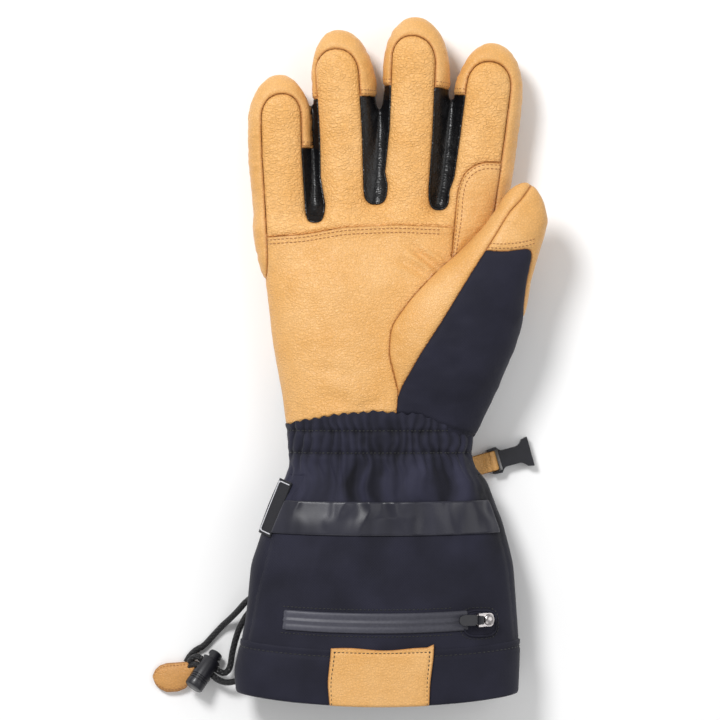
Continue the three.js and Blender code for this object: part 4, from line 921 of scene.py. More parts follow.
SKIN_STEP = 0.95
HAND_LOW, HAND_HIGH = (-72, -20, -3), (90, 226, 62)
SMOOTHING_ROUNDS = 3
hand_points, quads = skin(hand_form, HAND_LOW, HAND_HIGH, SKIN_STEP)
for _ in range(SMOOTHING_ROUNDS):
    total, count = np.zeros_like(hand_points), np.zeros(len(hand_points))
    for a, b in ((0, 1), (1, 2), (2, 3), (3, 0)):
        np.add.at(total, quads[:, a], hand_points[quads[:, b]])
        np.add.at(total, quads[:, b], hand_points[quads[:, a]])
        np.add.at(count, quads[:, a], 1)
        np.add.at(count, quads[:, b], 1)
    hand_points = 0.5 * hand_points + 0.5 * total / np.maximum(count, 1)[:, None]
    slope = slope_of(hand_form, hand_points)
    hand_points -= slope * (hand_form(hand_points) / np.maximum((slope**2).sum(1), 0.05))[:, None]
hand_faces = np.vstack([quads[:, [0, 1, 2]], quads[:, [0, 2, 3]]])


def cut_along(points, faces, line, where=None):
    """Splits the triangles that a line's value changes sign on, so that a panel's edge follows the line."""
    value = line(points)
    value = np.where(np.abs(value) < 1e-3, 1e-3, value)
    sign = value[faces] > 0
    mixed = sign.any(1) & ~sign.all(1)
    if where is not None:
        mixed &= where
    todo, keep = faces[mixed], faces[~mixed]
    sign = sign[mixed]
    lone = np.where(sign.sum(1) == 1, sign.argmax(1), (~sign).argmax(1))
    order = (lone[:, None] + np.arange(3)) % 3
    a, b, c = np.take_along_axis(todo, order, 1).T
    pairs = np.vstack([np.stack([a, b], 1), np.stack([a, c], 1)])
    unique, index = np.unique(np.sort(pairs, 1), axis=0, return_inverse=True)
    index = index.ravel()
    va, vb = value[unique[:, 0]], value[unique[:, 1]]
    share = np.clip(va / (va - vb), 0.02, 0.98)[:, None]
    fresh = points[unique[:, 0]] * (1 - share) + points[unique[:, 1]] * share
    p, q = (index + len(points)).reshape(2, -1)
    made = np.vstack([np.stack([a, p, q], 1), np.stack([p, b, c], 1), np.stack([p, c, q], 1)])
    return np.vstack([points, fresh]), np.vstack([keep, made])


def inside_outline(outline):
    """The distance in plan from an outline, less than nothing inside it."""
    corners = np.array(outline, float)
    following = np.roll(corners, -1, axis=0)

    def distance(p):
        best = np.full(len(p), 1e18)
        inside = np.zeros(len(p), bool)
        for (ax, ay), (bx, by) in zip(corners, following):
            dx, dy = bx - ax, by - ay
            px, py = p[:, 0] - ax, p[:, 1] - ay
            t = np.clip((px * dx + py * dy) / max(dx * dx + dy * dy, 1e-12), 0, 1)
            best = np.minimum(best, (px - t * dx) ** 2 + (py - t * dy) ** 2)
            if ay != by:
                inside ^= (
                    ((ay > p[:, 1]) != (by > p[:, 1])) & (p[:, 0] < dx * (p[:, 1] - ay) / (by - ay) + ax)
                )
        return np.where(inside, -1, 1) * np.sqrt(best)

    return distance


def bend(a, b, c, d, steps=8):
    """Points of a curve from a to d that leaves towards b and comes in from c."""
    a, b, c, d = (np.array(p, float) for p in (a, b, c, d))
    return [
        tuple((1 - t) ** 3 * a + 3 * t * (1 - t) ** 2 * b + 3 * t * t * (1 - t) * c + t**3 * d)
        for t in np.linspace(0, 1, steps + 1)[1:]
    ]


FRONT_LEVEL = 15  # where the front panels meet the back ones on the sides
# Up the palm, share of half its width.
LEFT_EDGE = [(-0.3, 1.1), (0.1, 1.06), (0.66, 1.03), (0.82, 0.955), (0.92, 0.93)]
CROTCHES = [{"up": -0.5, "radius": 4.4}, {"up": 8.5, "radius": 5.5}, {"up": 6, "radius": 4.6}]
front_edge = [(float(-side * body_half(up * PALM_LENGTH)), up * PALM_LENGTH) for up, side in LEFT_EDGE]
for i, finger in enumerate(FINGERS):
    half = finger["width"] / 2
    left, right = -finger["left"] * half, finger["right"] * half
    top = finger["length"] - ARCH_DEPTH
    radius = (right - left) / 2
    spring = top - radius * 1.15
    front_edge += [finger_point(finger, share * finger["length"], left) for share in (0.23, 0.45)]
    front_edge.append(finger_point(finger, spring, left))
    for a, b, c, d in (
        ((spring, left), (spring + radius * 0.7, left), (top, left + radius * 0.4), (top, left + radius)),
        ((top, left + radius), (top, right - radius * 0.4), (spring + radius * 0.7, right), (spring, right)),
    ):
        front_edge += bend(*[finger_point(finger, *p) for p in (a, b, c, d)])
    front_edge.append(finger_point(finger, 0.45 * finger["length"], right))
    if i < 3:
        crotch, beside = CROTCHES[i], FINGERS[i + 1]
        r = crotch["radius"]
        x = (
            (
                finger_point(finger, crotch["up"], half)[0]
                + finger_point(beside, crotch["up"], -beside["width"] / 2)[0]
            ) / 2
        )
        y = PALM_LENGTH + crotch["up"] + r
        front_edge.append((x - r, y + 4.4))
        front_edge += bend((x - r, y + 4.4), (x - r, y - r * 0.9), (x - r * 0.6, y - r), (x, y - r))
        front_edge += bend((x, y - r), (x + r * 0.6, y - r), (x + r, y - r * 0.9), (x + r, y + 4.4))
index_finger = FINGERS[-1]
index_right = index_finger["right"] * index_finger["width"] / 2
front_edge += [
    finger_point(index_finger, 0, index_right), finger_point(index_finger, -31, index_right),
    (PALM_WIDTH, 70), (PALM_WIDTH, -35)
]
in_front_outline = inside_outline(front_edge)

BACK_EDGE = 0.74
back_edge = [(-36.4, -400), (-36.4, 0)]
for i, finger in enumerate(FINGERS):
    side = BACK_EDGE * finger["width"] / 2
    top = finger["length"] - finger["cap"]
    if i:
        back_edge.append(finger_point(finger, 1, -side))
    back_edge += [
        finger_point(finger, a, s) for a, s in ((top / 2, -side), (top, -side), (top, side), (top / 2, side))
    ]
    if i < 3:
        back_edge.append(finger_point(finger, 1, side))
back_edge += [
    finger_point(index_finger, -31, BACK_EDGE * index_finger["width"] / 2), (PALM_WIDTH, 70),
    (PALM_WIDTH, -400)
]
in_back_outline = inside_outline(back_edge)


def front_line(p):
    return np.maximum(in_front_outline(p), FRONT_LEVEL - p[:, 2])


def back_line(p):
    return np.maximum(in_back_outline(p), p[:, 2] - FRONT_LEVEL)


def nearest_finger(p):
    return np.argmin([finger_form(finger, *p.T) for finger in FINGERS], 0)


def cap_line(p):
    """Less than nothing on a fingertip, above the edge of its leather cap."""
    which = nearest_finger(p)
    lines = [
        finger["length"] - finger["cap"] - finger_place(finger, p[:, 0], p[:, 1])[0] for finger in FINGERS
    ]
    return np.choose(which, lines)


def outer_line(p):
    """Less than nothing on the outer sides of the hand, left of the little finger and right of the index."""
    lines = []
    for finger, way in ((FINGERS[0], 1), (index_finger, -1)):
        side = np.where(
            p[:, 1] > PALM_LENGTH, finger_place(finger, p[:, 0], p[:, 1])[1],
            p[:, 0] - finger["root"] * PALM_WIDTH
        )
        lines.append(way * side)
    return np.minimum(*lines)


CROSS_SEAM = [
    (-1.2, 0.915), (-0.93, 0.927), (-0.62, 0.937), (-0.28, 0.968), (0.13, 0.977), (0.55, 0.968), (1.2, 0.975)
]


def cross_height(x):
    at = np.linspace(-80, 80, 161)
    rough = np.interp(
        at, [across * PALM_WIDTH / 2 for across, _ in CROSS_SEAM], [up * PALM_LENGTH for _, up in CROSS_SEAM]
    )
    soft = np.convolve(np.pad(rough, 8, mode="edge"), np.hanning(19)[1:-1] / np.hanning(19).sum(), "valid")
    return np.interp(x, at, soft)


def cross_line(p):
    return p[:, 1] - cross_height(p[:, 0])


PATCH_EDGE = [
    (0.34, 1.4), (0.34, 0.62), (0.325, 0.05), (0.28, -0.32), (0.22, -0.5), (0.12, -0.56), (-0.05, -0.5),
    (-0.3, -0.45), (-0.3, 1.4)
]
patch_outline = [
    finger_point(index_finger, along * index_finger["length"], side * index_finger["width"] / 2)
    for along, side in PATCH_EDGE
]
patch_curve = smooth_line([(*p, 0) for p in patch_outline[1:8]], 1)[:, :2].tolist()
patch_line = inside_outline([patch_outline[0], *patch_curve, patch_outline[8]])

THUMB_SEAM = [
    {"along": -40, "side": -20},
    {"along": -8, "side": -15.5},
    {"along": 6.7, "side": -16.5},
    {"along": 24, "side": -15.3},
    {"along": 41.8, "side": -12.9},
    {"along": 56.3, "side": -11.4},
    {"along": 70.8, "side": -10},
    {"along": 87.5, "side": -8},
    {"along": 106, "side": -6.2},
    {"along": 116, "side": -2.9},
    {"along": 124, "side": -1.6},
    {"along": 140, "side": -1.6},
]
thumb_seam = eased(THUMB_SEAM, "along", "side", 5)
UNDER_SEAM = 10.7
CAP_HEIGHT = 101  # where the thumb's cap ends, up from the wrist
CAP_MIDDLE = 60  # where that edge is lowest, and how it bows up beside it
CAP_BOW = 0.01
STRIP_FROM = 62


def thumb_front_line(p):
    along, side = thumb_place(p[:, 0], p[:, 1])
    under = np.interp(along, [-127, 57, 133, 190], [UNDER_SEAM, UNDER_SEAM, UNDER_SEAM * 0.2, -60])
    return np.where(p[:, 2] > thumb_middle(along), side - thumb_seam(along), side - under)


def thumb_cap_line(p):
    along, side = thumb_place(p[:, 0], p[:, 1])
    share = along / THUMB["length"]
    strip = (
        (thumb_shift(share) + np.interp(p[:, 1], [STRIP_FROM, 100], [1.0, 0.83]) * thumb_right(share))
        * THUMB["half"]
    )
    edge = CAP_HEIGHT + CAP_BOW * (p[:, 0] - CAP_MIDDLE) ** 2
    return merged(edge - p[:, 1], np.maximum(strip - side, STRIP_FROM - p[:, 1]), 7)


WRIST_SEAM = [(-1.2, 0.1), (-0.98, 0.13), (-0.5, 0.168), (-0.1, 0.182), (0.4, 0.17), (1.2, 0.06)]
BACK_SEAM = -9.6
WRIST_HALF = 45.5
CUFF_FRONT_LEVEL = 20  # above it, a point of the wrist or the cuff is on the front
TUCKED = 5  # how far the hand's panels run in under the cuff


def wrist_height(x):
    return np.interp(
        x, [across * WRIST_HALF for across, _ in WRIST_SEAM], [up * PALM_LENGTH for _, up in WRIST_SEAM]
    )


def wrist_line(p):
    return np.where(p[:, 2] > CUFF_FRONT_LEVEL, wrist_height(p[:, 0]), BACK_SEAM) - TUCKED - p[:, 1]


GUSSET_EDGE = [(20, 8), (31.5, 9), (41, 6.5), (48, 5.2)]  # how far right its left edge lies, by height
GUSSET_LEVEL = 24


def thumb_line(p):
    """Below nought on the thumb, and on the black gusset that runs on from it down to the cuff."""
    rest, thumb = hand_parts(p)
    beside = np.interp(p[:, 1], *zip(*GUSSET_EDGE))
    gusset = np.maximum(np.maximum(beside - p[:, 0], p[:, 1] - GUSSET_EDGE[-1][0]), GUSSET_LEVEL - p[:, 2])
    return np.minimum(thumb - rest, gusset)


hand_points, hand_faces = cut_along(hand_points, hand_faces, wrist_line)
hand_points, hand_faces = cut_along(hand_points, hand_faces, thumb_line)
for line in (front_line, back_line, cap_line, outer_line, patch_line, cross_line):
    on_thumb = thumb_line(hand_points[hand_faces].mean(1)) < 0
    hand_points, hand_faces = cut_along(hand_points, hand_faces, line, ~on_thumb)
for line in (thumb_front_line, thumb_cap_line):
    on_thumb = thumb_line(hand_points[hand_faces].mean(1)) < 0
    hand_points, hand_faces = cut_along(hand_points, hand_faces, line, on_thumb)
slope = slope_of(hand_form, hand_points)
hand_points -= slope * (hand_form(hand_points) / np.maximum((slope**2).sum(1), 0.05))[:, None]
hand_normals = slope / np.linalg.norm(slope, axis=1)[:, None]

middles = hand_points[hand_faces].mean(1)
which = nearest_finger(middles)
thumbs = thumb_line(middles) < 0
fronts, backs = front_line(middles) < 0, back_line(middles) < 0
rims = ~fronts & ~backs & ~thumbs
sides = np.choose(which, [finger_place(finger, middles[:, 0], middles[:, 1])[1] for finger in FINGERS])
between = np.clip(which - (sides < 0), 0, 2)
outers, caps = outer_line(middles) < 0, cap_line(middles) < 0
on_panel = {
    "index_patch": fronts & ~thumbs & (patch_line(middles) < 0),
    "palm_lower": fronts & ~thumbs & (patch_line(middles) >= 0) & (cross_line(middles) < 0),
    "finger_fronts": fronts & ~thumbs & (patch_line(middles) >= 0) & (cross_line(middles) >= 0),
    "hand_back": backs & ~thumbs,
    "thumb_front": thumbs & (thumb_front_line(middles) < 0),
    "thumb_cap": thumbs & (thumb_front_line(middles) >= 0) & (thumb_cap_line(middles) < 0),
    "thumb_back": thumbs & (thumb_front_line(middles) >= 0) & (thumb_cap_line(middles) >= 0),
}
for i, finger in enumerate(FINGERS):
    leather_side = outers & (which == i) if finger["name"] in ("little", "index") else False
    on_panel["cap_" + finger["name"]] = rims & (which == i) & (caps | leather_side)
taken = np.any([on_panel["cap_" + finger["name"]] for finger in FINGERS], 0)
on_panel["cap_little"] |= rims & ~taken & outers & (middles[:, 0] < 0)
on_panel["cap_index"] |= rims & ~taken & outers & (middles[:, 0] > 0)
taken |= outers
for i, name in enumerate(("wall_little_ring", "wall_ring_middle", "wall_middle_index")):
    on_panel[name] = rims & ~taken & (between == i)
below_wrist = wrist_line(middles) > 0
panel_skins = {}


PALM_FOLDS = [
    {"from": (16.5, 102.5), "to": (30, 92), "depth": 1.7, "width": 1.9},
    {"from": (10, 108), "to": (21, 100.5), "depth": 0.6, "width": 1.8},
    {"from": (7, 98), "to": (22, 90.5), "depth": 0.9, "width": 2.0},
    {"from": (20, 106), "to": (31, 98.5), "depth": 0.4, "width": 1.1},
    {"from": (-6, 88), "to": (12, 76), "depth": 0.35, "width": 2.4},
    {"from": (-30, 30), "to": (-8, 24), "depth": 0.5, "width": 3.2},
    {"from": (-36, 44), "to": (-14, 40), "depth": 0.35, "width": 3},
    {"from": (-18, 20), "to": (0, 27), "depth": 0.45, "width": 2.6},
]


def folds_in_palm(p):
    """The dents that the palm's leather takes where the thumb pulls at it and above the gathers."""
    total = np.zeros(len(p))
    for row in PALM_FOLDS:
        start, run = np.array(row["from"]), np.array(row["to"]) - np.array(row["from"])
        t = ((p[:, :2] - start) @ run) / run.dot(run)
        away = np.linalg.norm(p[:, :2] - start - t[:, None] * run, axis=1)
        fold = (
            np.exp(-((away / row["width"]) ** 2))
            - 0.45 * np.exp(-(((away - 2 * row["width"]) / row["width"]) ** 2))
        )
        total -= row["depth"] * fold * np.exp(-(((t - 0.6) / 0.55) ** 4))
    return total * (p[:, 2] > FRONT_LEVEL)


def sew_panel(
    name, finishes, sunk=0.0, edge=0.9, edge_reach=1.2, fullness=0.6, full_from=6, creases=0.25,
    crease_size=(6.5, 2.6, 6), flex=0.5, wall=2.6, lap=None
):
    """Makes one panel of the hand: full in its middle, drawn in along its seams, creased, and with its
    thickness."""
    faces = hand_faces[on_panel[name] & ~below_wrist]
    used, faces = np.unique(faces, return_inverse=True)
    faces = faces.reshape(-1, 3)
    points, normals = hand_points[used], hand_normals[used]
    borders = np.sort(np.vstack([faces[:, [0, 1]], faces[:, [1, 2]], faces[:, [2, 0]]]), 1)
    borders, count = np.unique(borders, axis=0, return_counts=True)
    border = np.unique(borders[count == 1])
    lapped = np.abs(lap(points[border])) < 0.3 if lap else np.zeros(len(border), bool)
    near_tree = KDTree(max(1, int((~lapped).sum())))
    for k, spot in enumerate(points[border[~lapped]]):
        near_tree.insert(spot, k)
    near_tree.balance()
    away = np.array([near_tree.find(spot)[2] for spot in points])
    move = -edge * np.exp(-((away / edge_reach) ** 2)) + fullness * (1 - np.exp(-away / full_from)) - sunk
    move += creases * lattice(points / np.array(crease_size) * 6, 6, 5) * np.clip(away / 3, 0, 1)
    move += 0.5 * creases * lattice(points / np.array(crease_size) * 6, 3.2, 9) * np.clip(away / 2, 0, 1)
    move += 0.35 * lattice(points, 17, 8) * np.clip(away / 6, 0, 1)
    if name == "palm_lower":
        move += folds_in_palm(points)
    cuff_edge = np.where(points[:, 2] > CUFF_FRONT_LEVEL, wrist_height(points[:, 0]), BACK_SEAM) + 1.5
    move -= 1.5 * np.clip((cuff_edge - points[:, 1]) / 2, 0, 1)
    if lap:
        near = np.abs(lap(points))
        move += 0.7 * np.exp(-((near / 3.6) ** 2)) * np.clip(away / 2, 0, 1)
        away = np.where(near < 2, np.minimum(away, near + 0.3), away)
    points = points + normals * move[:, None]
    points[:, 2] = np.maximum(points[:, 2], 0)
    marks = {"seam": away, "flex": np.full(len(points), flex)}
    panel = make_piece(name + "_panel", points, faces, finishes, marks=marks, nodes=[name], wall=wall)
    panel_skins[name] = (points, faces)
    return panel


# The lining.
# Brushed black knit faces the padding inside the hand, the thumb and the cuff. It shows only in the cuff's
# mouth.
lining, tree, shader = new_finish("brushed_lining", Roughness=0.95, Sheen_Weight=0.4)
place = add(tree, "ShaderNodeTexCoord").outputs["Object"]
nap = noise(tree, place, 900.0, 5.0)
tones = two_tones(tree, nap, colour(20, 20, 26), colour(46, 46, 56))
tree.links.new(tones, shader.inputs["Base Color"])
raise_relief(tree, shader, nap, 0.0003, 0.7)

# The leather panels of the palm and the fingers.
# Tan goatskin in three panels: the fingers' fronts, the lower palm lapped over them, and a patch in the
# thumb's fork. Each edge is turned in, and two rows of tan thread hold the lap and the patch.
fronts_panel = sew_panel(
    "finger_fronts", [tan_leather, lining], edge=1.0, fullness=0.45, full_from=4, creases=0.2, flex=1.0
)
palm_panel = sew_panel(
    "palm_lower", [tan_leather, lining], edge=0.8, full_from=9, creases=0.16, crease_size=(7, 6, 7),
    flex=0.55, lap=cross_line
)
patch_panel = sew_panel(
    "index_patch", [tan_leather, lining], edge=0.5, edge_reach=0.9, fullness=0.9, full_from=1.5, creases=0.16,
    flex=0.4
)


def upper_surface(*names):
    """The surface of these panels, to lay lines on from above."""
    points, faces = [], []
    for name in names:
        skin_points, skin_faces = panel_skins[name]
        faces += (np.asarray(skin_faces) + len(points)).tolist()
        points += skin_points.tolist()
    return BVHTree.FromPolygons(points, faces)


def laid(surface, line, lift=0.05):
    """A line given in plan, laid on a surface from above. Points that miss it are left out."""
    found = []
    for x, y in line:
        spot = surface.ray_cast(Vector((x, y, 120)), Vector((0, 0, -1)))[0]
        if spot is not None:
            found.append((spot.x, spot.y, spot.z + lift))
    return found


palm_surface = upper_surface("palm_lower", "finger_fronts", "index_patch")
LAP_FROM, LAP_TO = -57.5, 29.5
across_palm = np.arange(LAP_FROM, LAP_TO, 0.8)
lap_rows = [[(x, cross_height(x) - down) for x in across_palm] for down in (1.3, 3.3)]
patch_rows = []
for inset in (1.2, 3.2):
    middle = np.array([finger_point(index_finger, 6, 12)]).reshape(2)
    away = np.array(patch_curve) - middle
    length = np.linalg.norm(away, axis=1)[:, None]
    patch_rows.append([tuple(p) for p in middle + away * (length - inset) / length])
sew("palm_stitches", [laid(palm_surface, row) for row in lap_rows], tan_thread)
sew("patch_stitches", [laid(upper_surface("index_patch"), row) for row in patch_rows], tan_thread)

# The leather caps of the fingertips.
# Each wraps a tip and its sides down to a sewn edge. The outer two run on as strips down the sides of the
# hand.
for finger in FINGERS:
    cap = sew_panel(
        "cap_" + finger["name"], [tan_leather, lining], edge=0.7, edge_reach=0.9, fullness=1.0, full_from=2.5,
        flex=0.3
    )
cap_rows = []
for finger, inner_sides in zip(FINGERS, ((1,), (-1, 1), (-1, 1), (-1,))):
    surface = upper_surface("cap_" + finger["name"])
    for way in inner_sides:
        start = finger["right" if way > 0 else "left"] + 0.03
        for up in (1.3, 3.1):
            along = finger["length"] - finger["cap"] + up
            cap_rows.append(
                laid(
                    surface,
                    [
                        finger_point(finger, along, way * share * finger["width"] / 2)
                        for share in np.linspace(start, 1.02, 14)
                    ]
                )
            )
sew("cap_stitches", [row for row in cap_rows if len(row) > 2], tan_thread, pitch=1.8, stitch=1.3)

# The black walls between the fingers.
# Smooth black sheepskin strips join the front and the back of two fingers and turn in a small round at the
# fork.
# Its third tone, beside seams, is partly painted shade.
black_leather = leather_finish(
    "black_leather", colour(16, 16, 19), colour(8, 8, 10), colour(5, 5, 6), roughness=0.3, grain=0.0001,
    flexing=0.0002
)
for name in ("wall_little_ring", "wall_ring_middle", "wall_middle_index"):
    wall_panel = sew_panel(
        name, [black_leather, lining], sunk=0.5, edge=-0.3, edge_reach=0.8, fullness=0.2, creases=0.15,
        flex=0.6
    )

# The softshell of the back.
# A dense dark fabric with a smooth face, in one panel over the back and the fingers, lies on the table.
softshell, tree, shader = new_finish(
    "softshell", Roughness=0.72, Sheen_Weight=0.06, Sheen_Roughness=0.5, Specular_IOR_Level=0.2
)
place = add(tree, "ShaderNodeTexCoord").outputs["Object"]
dye = noise(tree, place, 60.0, 6.0)
tones = two_tones(tree, dye, colour(32, 32, 46), colour(41, 41, 57), 0.3, 0.7)
yarns = []
YARN_SCALE = 320.0
for axis in (0, 1):
    turned_place = add(
        tree, "ShaderNodeMapping", {"Vector": place, "Rotation": (0, 0, math.radians(45 + 90 * axis))}
    )
    yarns.append(
        add(
            tree, "ShaderNodeTexWave",
            {"Vector": turned_place.outputs["Vector"], "Scale": YARN_SCALE, "Distortion": 1.2, "Detail": 2.0}
        ).outputs["Fac"]
    )
weave = add(tree, "ShaderNodeMath", {0: yarns[0], 1: yarns[1]}, operation="MULTIPLY").outputs[0]
shade = add(tree, "ShaderNodeMix", {0: 0.22, 6: tones, 7: weave}, data_type="RGBA", blend_type="MULTIPLY")
# Painted shade and light: the fold mark darkens the cloth's colour in the cuff's fold valleys and lightens it
# on their ridges.
raised = add(tree, "ShaderNodeAttribute", attribute_name="fold").outputs["Fac"]
lit = add(
    tree, "ShaderNodeMapRange",
    {"Value": raised, "From Min": -1.2, "From Max": 1.6, "To Min": 0.3, "To Max": 1.65}
)
coloured = add(
    tree, "ShaderNodeVectorMath", {0: shade.outputs[2], "Scale": lit.outputs["Result"]}, operation="SCALE"
)
tree.links.new(coloured.outputs["Vector"], shader.inputs["Base Color"])
raise_relief(tree, shader, weave, 0.00008, 0.6)

back_panel = sew_panel("hand_back", [softshell, lining], edge=0.8, fullness=0.4, creases=0.3, flex=0)

# The thumb.
# Tan leather faces the palm, a leather cap wraps the tip with a strip down the outer side, and softshell
# covers the rest. The three are sewn edge to edge, and two rows of thread run over the cap's edge.
for name, finish, slot_name in (
    ("thumb_front", tan_leather, "leather"), ("thumb_cap", tan_leather, "leather"),
    ("thumb_back", softshell, "softshell")
):
    panel = sew_panel(
        name, [finish, lining], edge=0.7, edge_reach=1.0, fullness=0.7, full_from=3, creases=0.3,
        crease_size=(8, 6, 8), flex=0.35
    )
cap_surface = upper_surface("thumb_cap")
thumb_rows = [
    [(x, CAP_HEIGHT + CAP_BOW * (x - CAP_MIDDLE) ** 2 + up) for x in np.arange(48, 76, 0.6)]
    for up in (1.5, 3.6)
]
sew("thumb_stitches", [laid(cap_surface, row) for row in thumb_rows], tan_thread, pitch=1.8, stitch=1.3)

# The cuff.
# A gauntlet of softshell, its front in one piece that two rows of elastic gather at the wrist, and its back
# wrapped round the sides to seams on the front.
CUFF_SIDES = 440
GATHER_ROWS = [12.5, 1.5]  # the two rows of elastic, up from the narrowest line
NARROW_PLEAT = 4.3
# How strong the pleats, the folds that radiate below them and the cloth's broad waves are, by height.
PLEATED = [(-24, 0), (-12, 0.4), (-3, 0.85), (3, 1.05), (14, 0.95), (19, 0.6), (24, 0.3)]
RADIATING = [(-62, 0.05), (-38, 0.6), (-20, 1.6), (-8, 1.4), (0, 0.2)]
CALM = [(-125, 0.55), (-60, 0.6), (-40, 0.4)]
HEM_DROOP = 5  # how much further from the wrist the hem's middle hangs than its sides
HEM_WIDTH = 141.5


def droop(x, y):
    """How far a line across the cuff comes up at x from where it lies in the middle."""
    return HEM_DROOP * (2 * x / HEM_WIDTH) ** 2 * np.clip(-y / WRIST_TO_HEM_END, 0, 1)


def oval(turn, half, rise):
    c, s = np.cos(turn), np.sin(turn)
    return (
        np.sign(c) * np.abs(c) ** (2 / SQUARENESS) * half, np.sign(s) * np.abs(s) ** (2 / SQUARENESS) * rise
    )


def cuff_folds(x, y, z):
    """How far the cloth stands off the cuff's plain form: pleats at the elastic, and folds that run out
    below it."""
    spot = np.stack([x, y, z], 1)
    warp = 2.4 * lattice(spot, 11, 21) + 1.1 * lattice(spot, 5, 22)
    sideways = x * (1 - 0.16 * np.clip(-y / 40, 0, 1)) + warp
    wave = np.sin(math.pi * sideways / NARROW_PLEAT)
    pleat = np.sqrt(wave**2 + 0.03) - 0.6 + 0.35 * lattice(spot, 4, 27)
    strength = np.interp(y, *zip(*PLEATED))
    rows = sum(np.exp(-(((y + 0.8 * lattice(spot, 6, 23) - row) / 1.2) ** 2)) for row in GATHER_ROWS)
    drawn = np.stack([sideways, y * 0.2, z * 0.3], 1)
    fold = 1 - 2.2 * np.abs(lattice(drawn, 10, 24)) + 0.6 * lattice(drawn, 5, 25)
    broad = (
        lattice(np.stack([x * 0.6, y, z * 0.5], 1), 21, 26)
        + 0.4 * lattice(np.stack([x * 0.8, y, z * 0.5], 1), 10, 28)
    )
    radiating = np.interp(y, *zip(*RADIATING))
    calm = np.interp(y, *zip(*CALM))
    return 1.25 * pleat * strength - 0.8 * rows + fold * radiating + broad * calm


def cuff_point(turn, y, lift=0.0):
    """Points on the cuff at an angle round it and a distance from the wrist, lift millimetres off the
    cloth."""
    turn, y = np.broadcast_arrays(np.asarray(turn, float), np.asarray(y, float))
    turn, y = turn.ravel(), y.ravel()
    half, thickness = body_half(y), body_thickness(y)
    x0, z0 = oval(turn, half, (thickness + FLATTENED) / 2)
    middle = (thickness - FLATTENED) / 2
    top = np.clip(np.sin(turn) * 1.6, 0, 1)
    off = lift + cuff_folds(x0, y, z0 + middle) * (0.35 + 0.65 * top)
    x, z = oval(turn, half + off, (thickness + FLATTENED) / 2 + off)
    x = x + body_shift(y)
    return np.stack([x, y + droop(x, y), np.maximum(z + middle, np.maximum(lift, 0))], 1)


def grid_faces(rows, columns, closed_round=False):
    made = []
    for i in range(rows - 1):
        for k in range(columns if closed_round else columns - 1):
            a, b = i * columns + k, i * columns + (k + 1) % columns
            made.append((a, a + columns, b + columns, b))
    return made


HEM_START = -95.5
CUFF_TOP = 25
CUFF_STEP = 0.95
levels = np.arange(CUFF_TOP, HEM_START - 2.5, -CUFF_STEP)
turns = np.linspace(0, 2 * math.pi, CUFF_SIDES, endpoint=False)
turn_grid, level_grid = np.meshgrid(turns, levels)
cuff_points = cuff_point(turn_grid, level_grid)
cuff_quads = np.array(grid_faces(len(levels), CUFF_SIDES, True))[:, ::-1]
cuff_faces = np.vstack([cuff_quads[:, [0, 1, 2]], cuff_quads[:, [0, 2, 3]]])
CUFF_FRONT_ROWS = [
    {"y": 20, "left": 1.15, "right": 1.15},
    {"y": -9.7, "left": 1.15, "right": 1.15},
    {"y": -9.8, "left": 0.83, "right": 0.96},
    {"y": -22.1, "left": 0.867, "right": 0.95},
    {"y": -36.9, "left": 0.91, "right": 0.955},
    {"y": -56.6, "left": 0.9, "right": 0.96},
    {"y": -73.8, "left": 0.945, "right": 0.97},
    {"y": -97.2, "left": 0.96, "right": 0.98},
]


def cuff_front_line(p):
    y = p[:, 1] - droop(p[:, 0], p[:, 1])
    rows = CUFF_FRONT_ROWS[::-1]
    edges = [
        np.interp(y, [row["y"] for row in rows], [row[key] for row in rows]) * body_half(y)
        for key in ("left", "right")
    ]
    across = p[:, 0] - body_shift(y)
    return np.maximum(np.maximum(-across - edges[0], across - edges[1]), CUFF_FRONT_LEVEL - p[:, 2])


def cuff_top_line(p):
    wave = 0.5 * np.sin(p[:, 0] * 1.3) + 0.6 * lattice(p, 5, 31)
    return p[:, 1] - np.where(p[:, 2] > CUFF_FRONT_LEVEL, wrist_height(p[:, 0]) + 1 + wave, BACK_SEAM + 0.8)


for line in (cuff_top_line, cuff_front_line):
    cuff_points, cuff_faces = cut_along(cuff_points, cuff_faces, line)
middles = cuff_points[cuff_faces].mean(1)
kept = cuff_top_line(middles) < 0
in_front = cuff_front_line(middles) < 0
for name, chosen in (("cuff_front", kept & in_front), ("cuff_back", kept & ~in_front)):
    used, faces = np.unique(cuff_faces[chosen], return_inverse=True)
    faces = faces.reshape(-1, 3)
    points = cuff_points[used]
    edges = np.abs(cuff_front_line(points))
    groove = 0.5 * np.exp(-((edges / 1.4) ** 2)) * (points[:, 1] < -6)
    centre = np.stack([body_shift(points[:, 1]), points[:, 1], body_thickness(points[:, 1]) / 2], 1)
    inward = centre - points
    points = points + inward / np.linalg.norm(inward, axis=1)[:, None] * groove[:, None]
    # Its fold mark paints shade into the softshell's colour in the valleys of the folds and light on their
    # ridges.
    piece = make_piece(
        name + "_cloth", points, faces, [softshell, lining],
        marks={"seam": edges, "fold": cuff_folds(*points.T)}, nodes=[name], wall=2.2
    )
    panel_skins[name] = (points, faces)

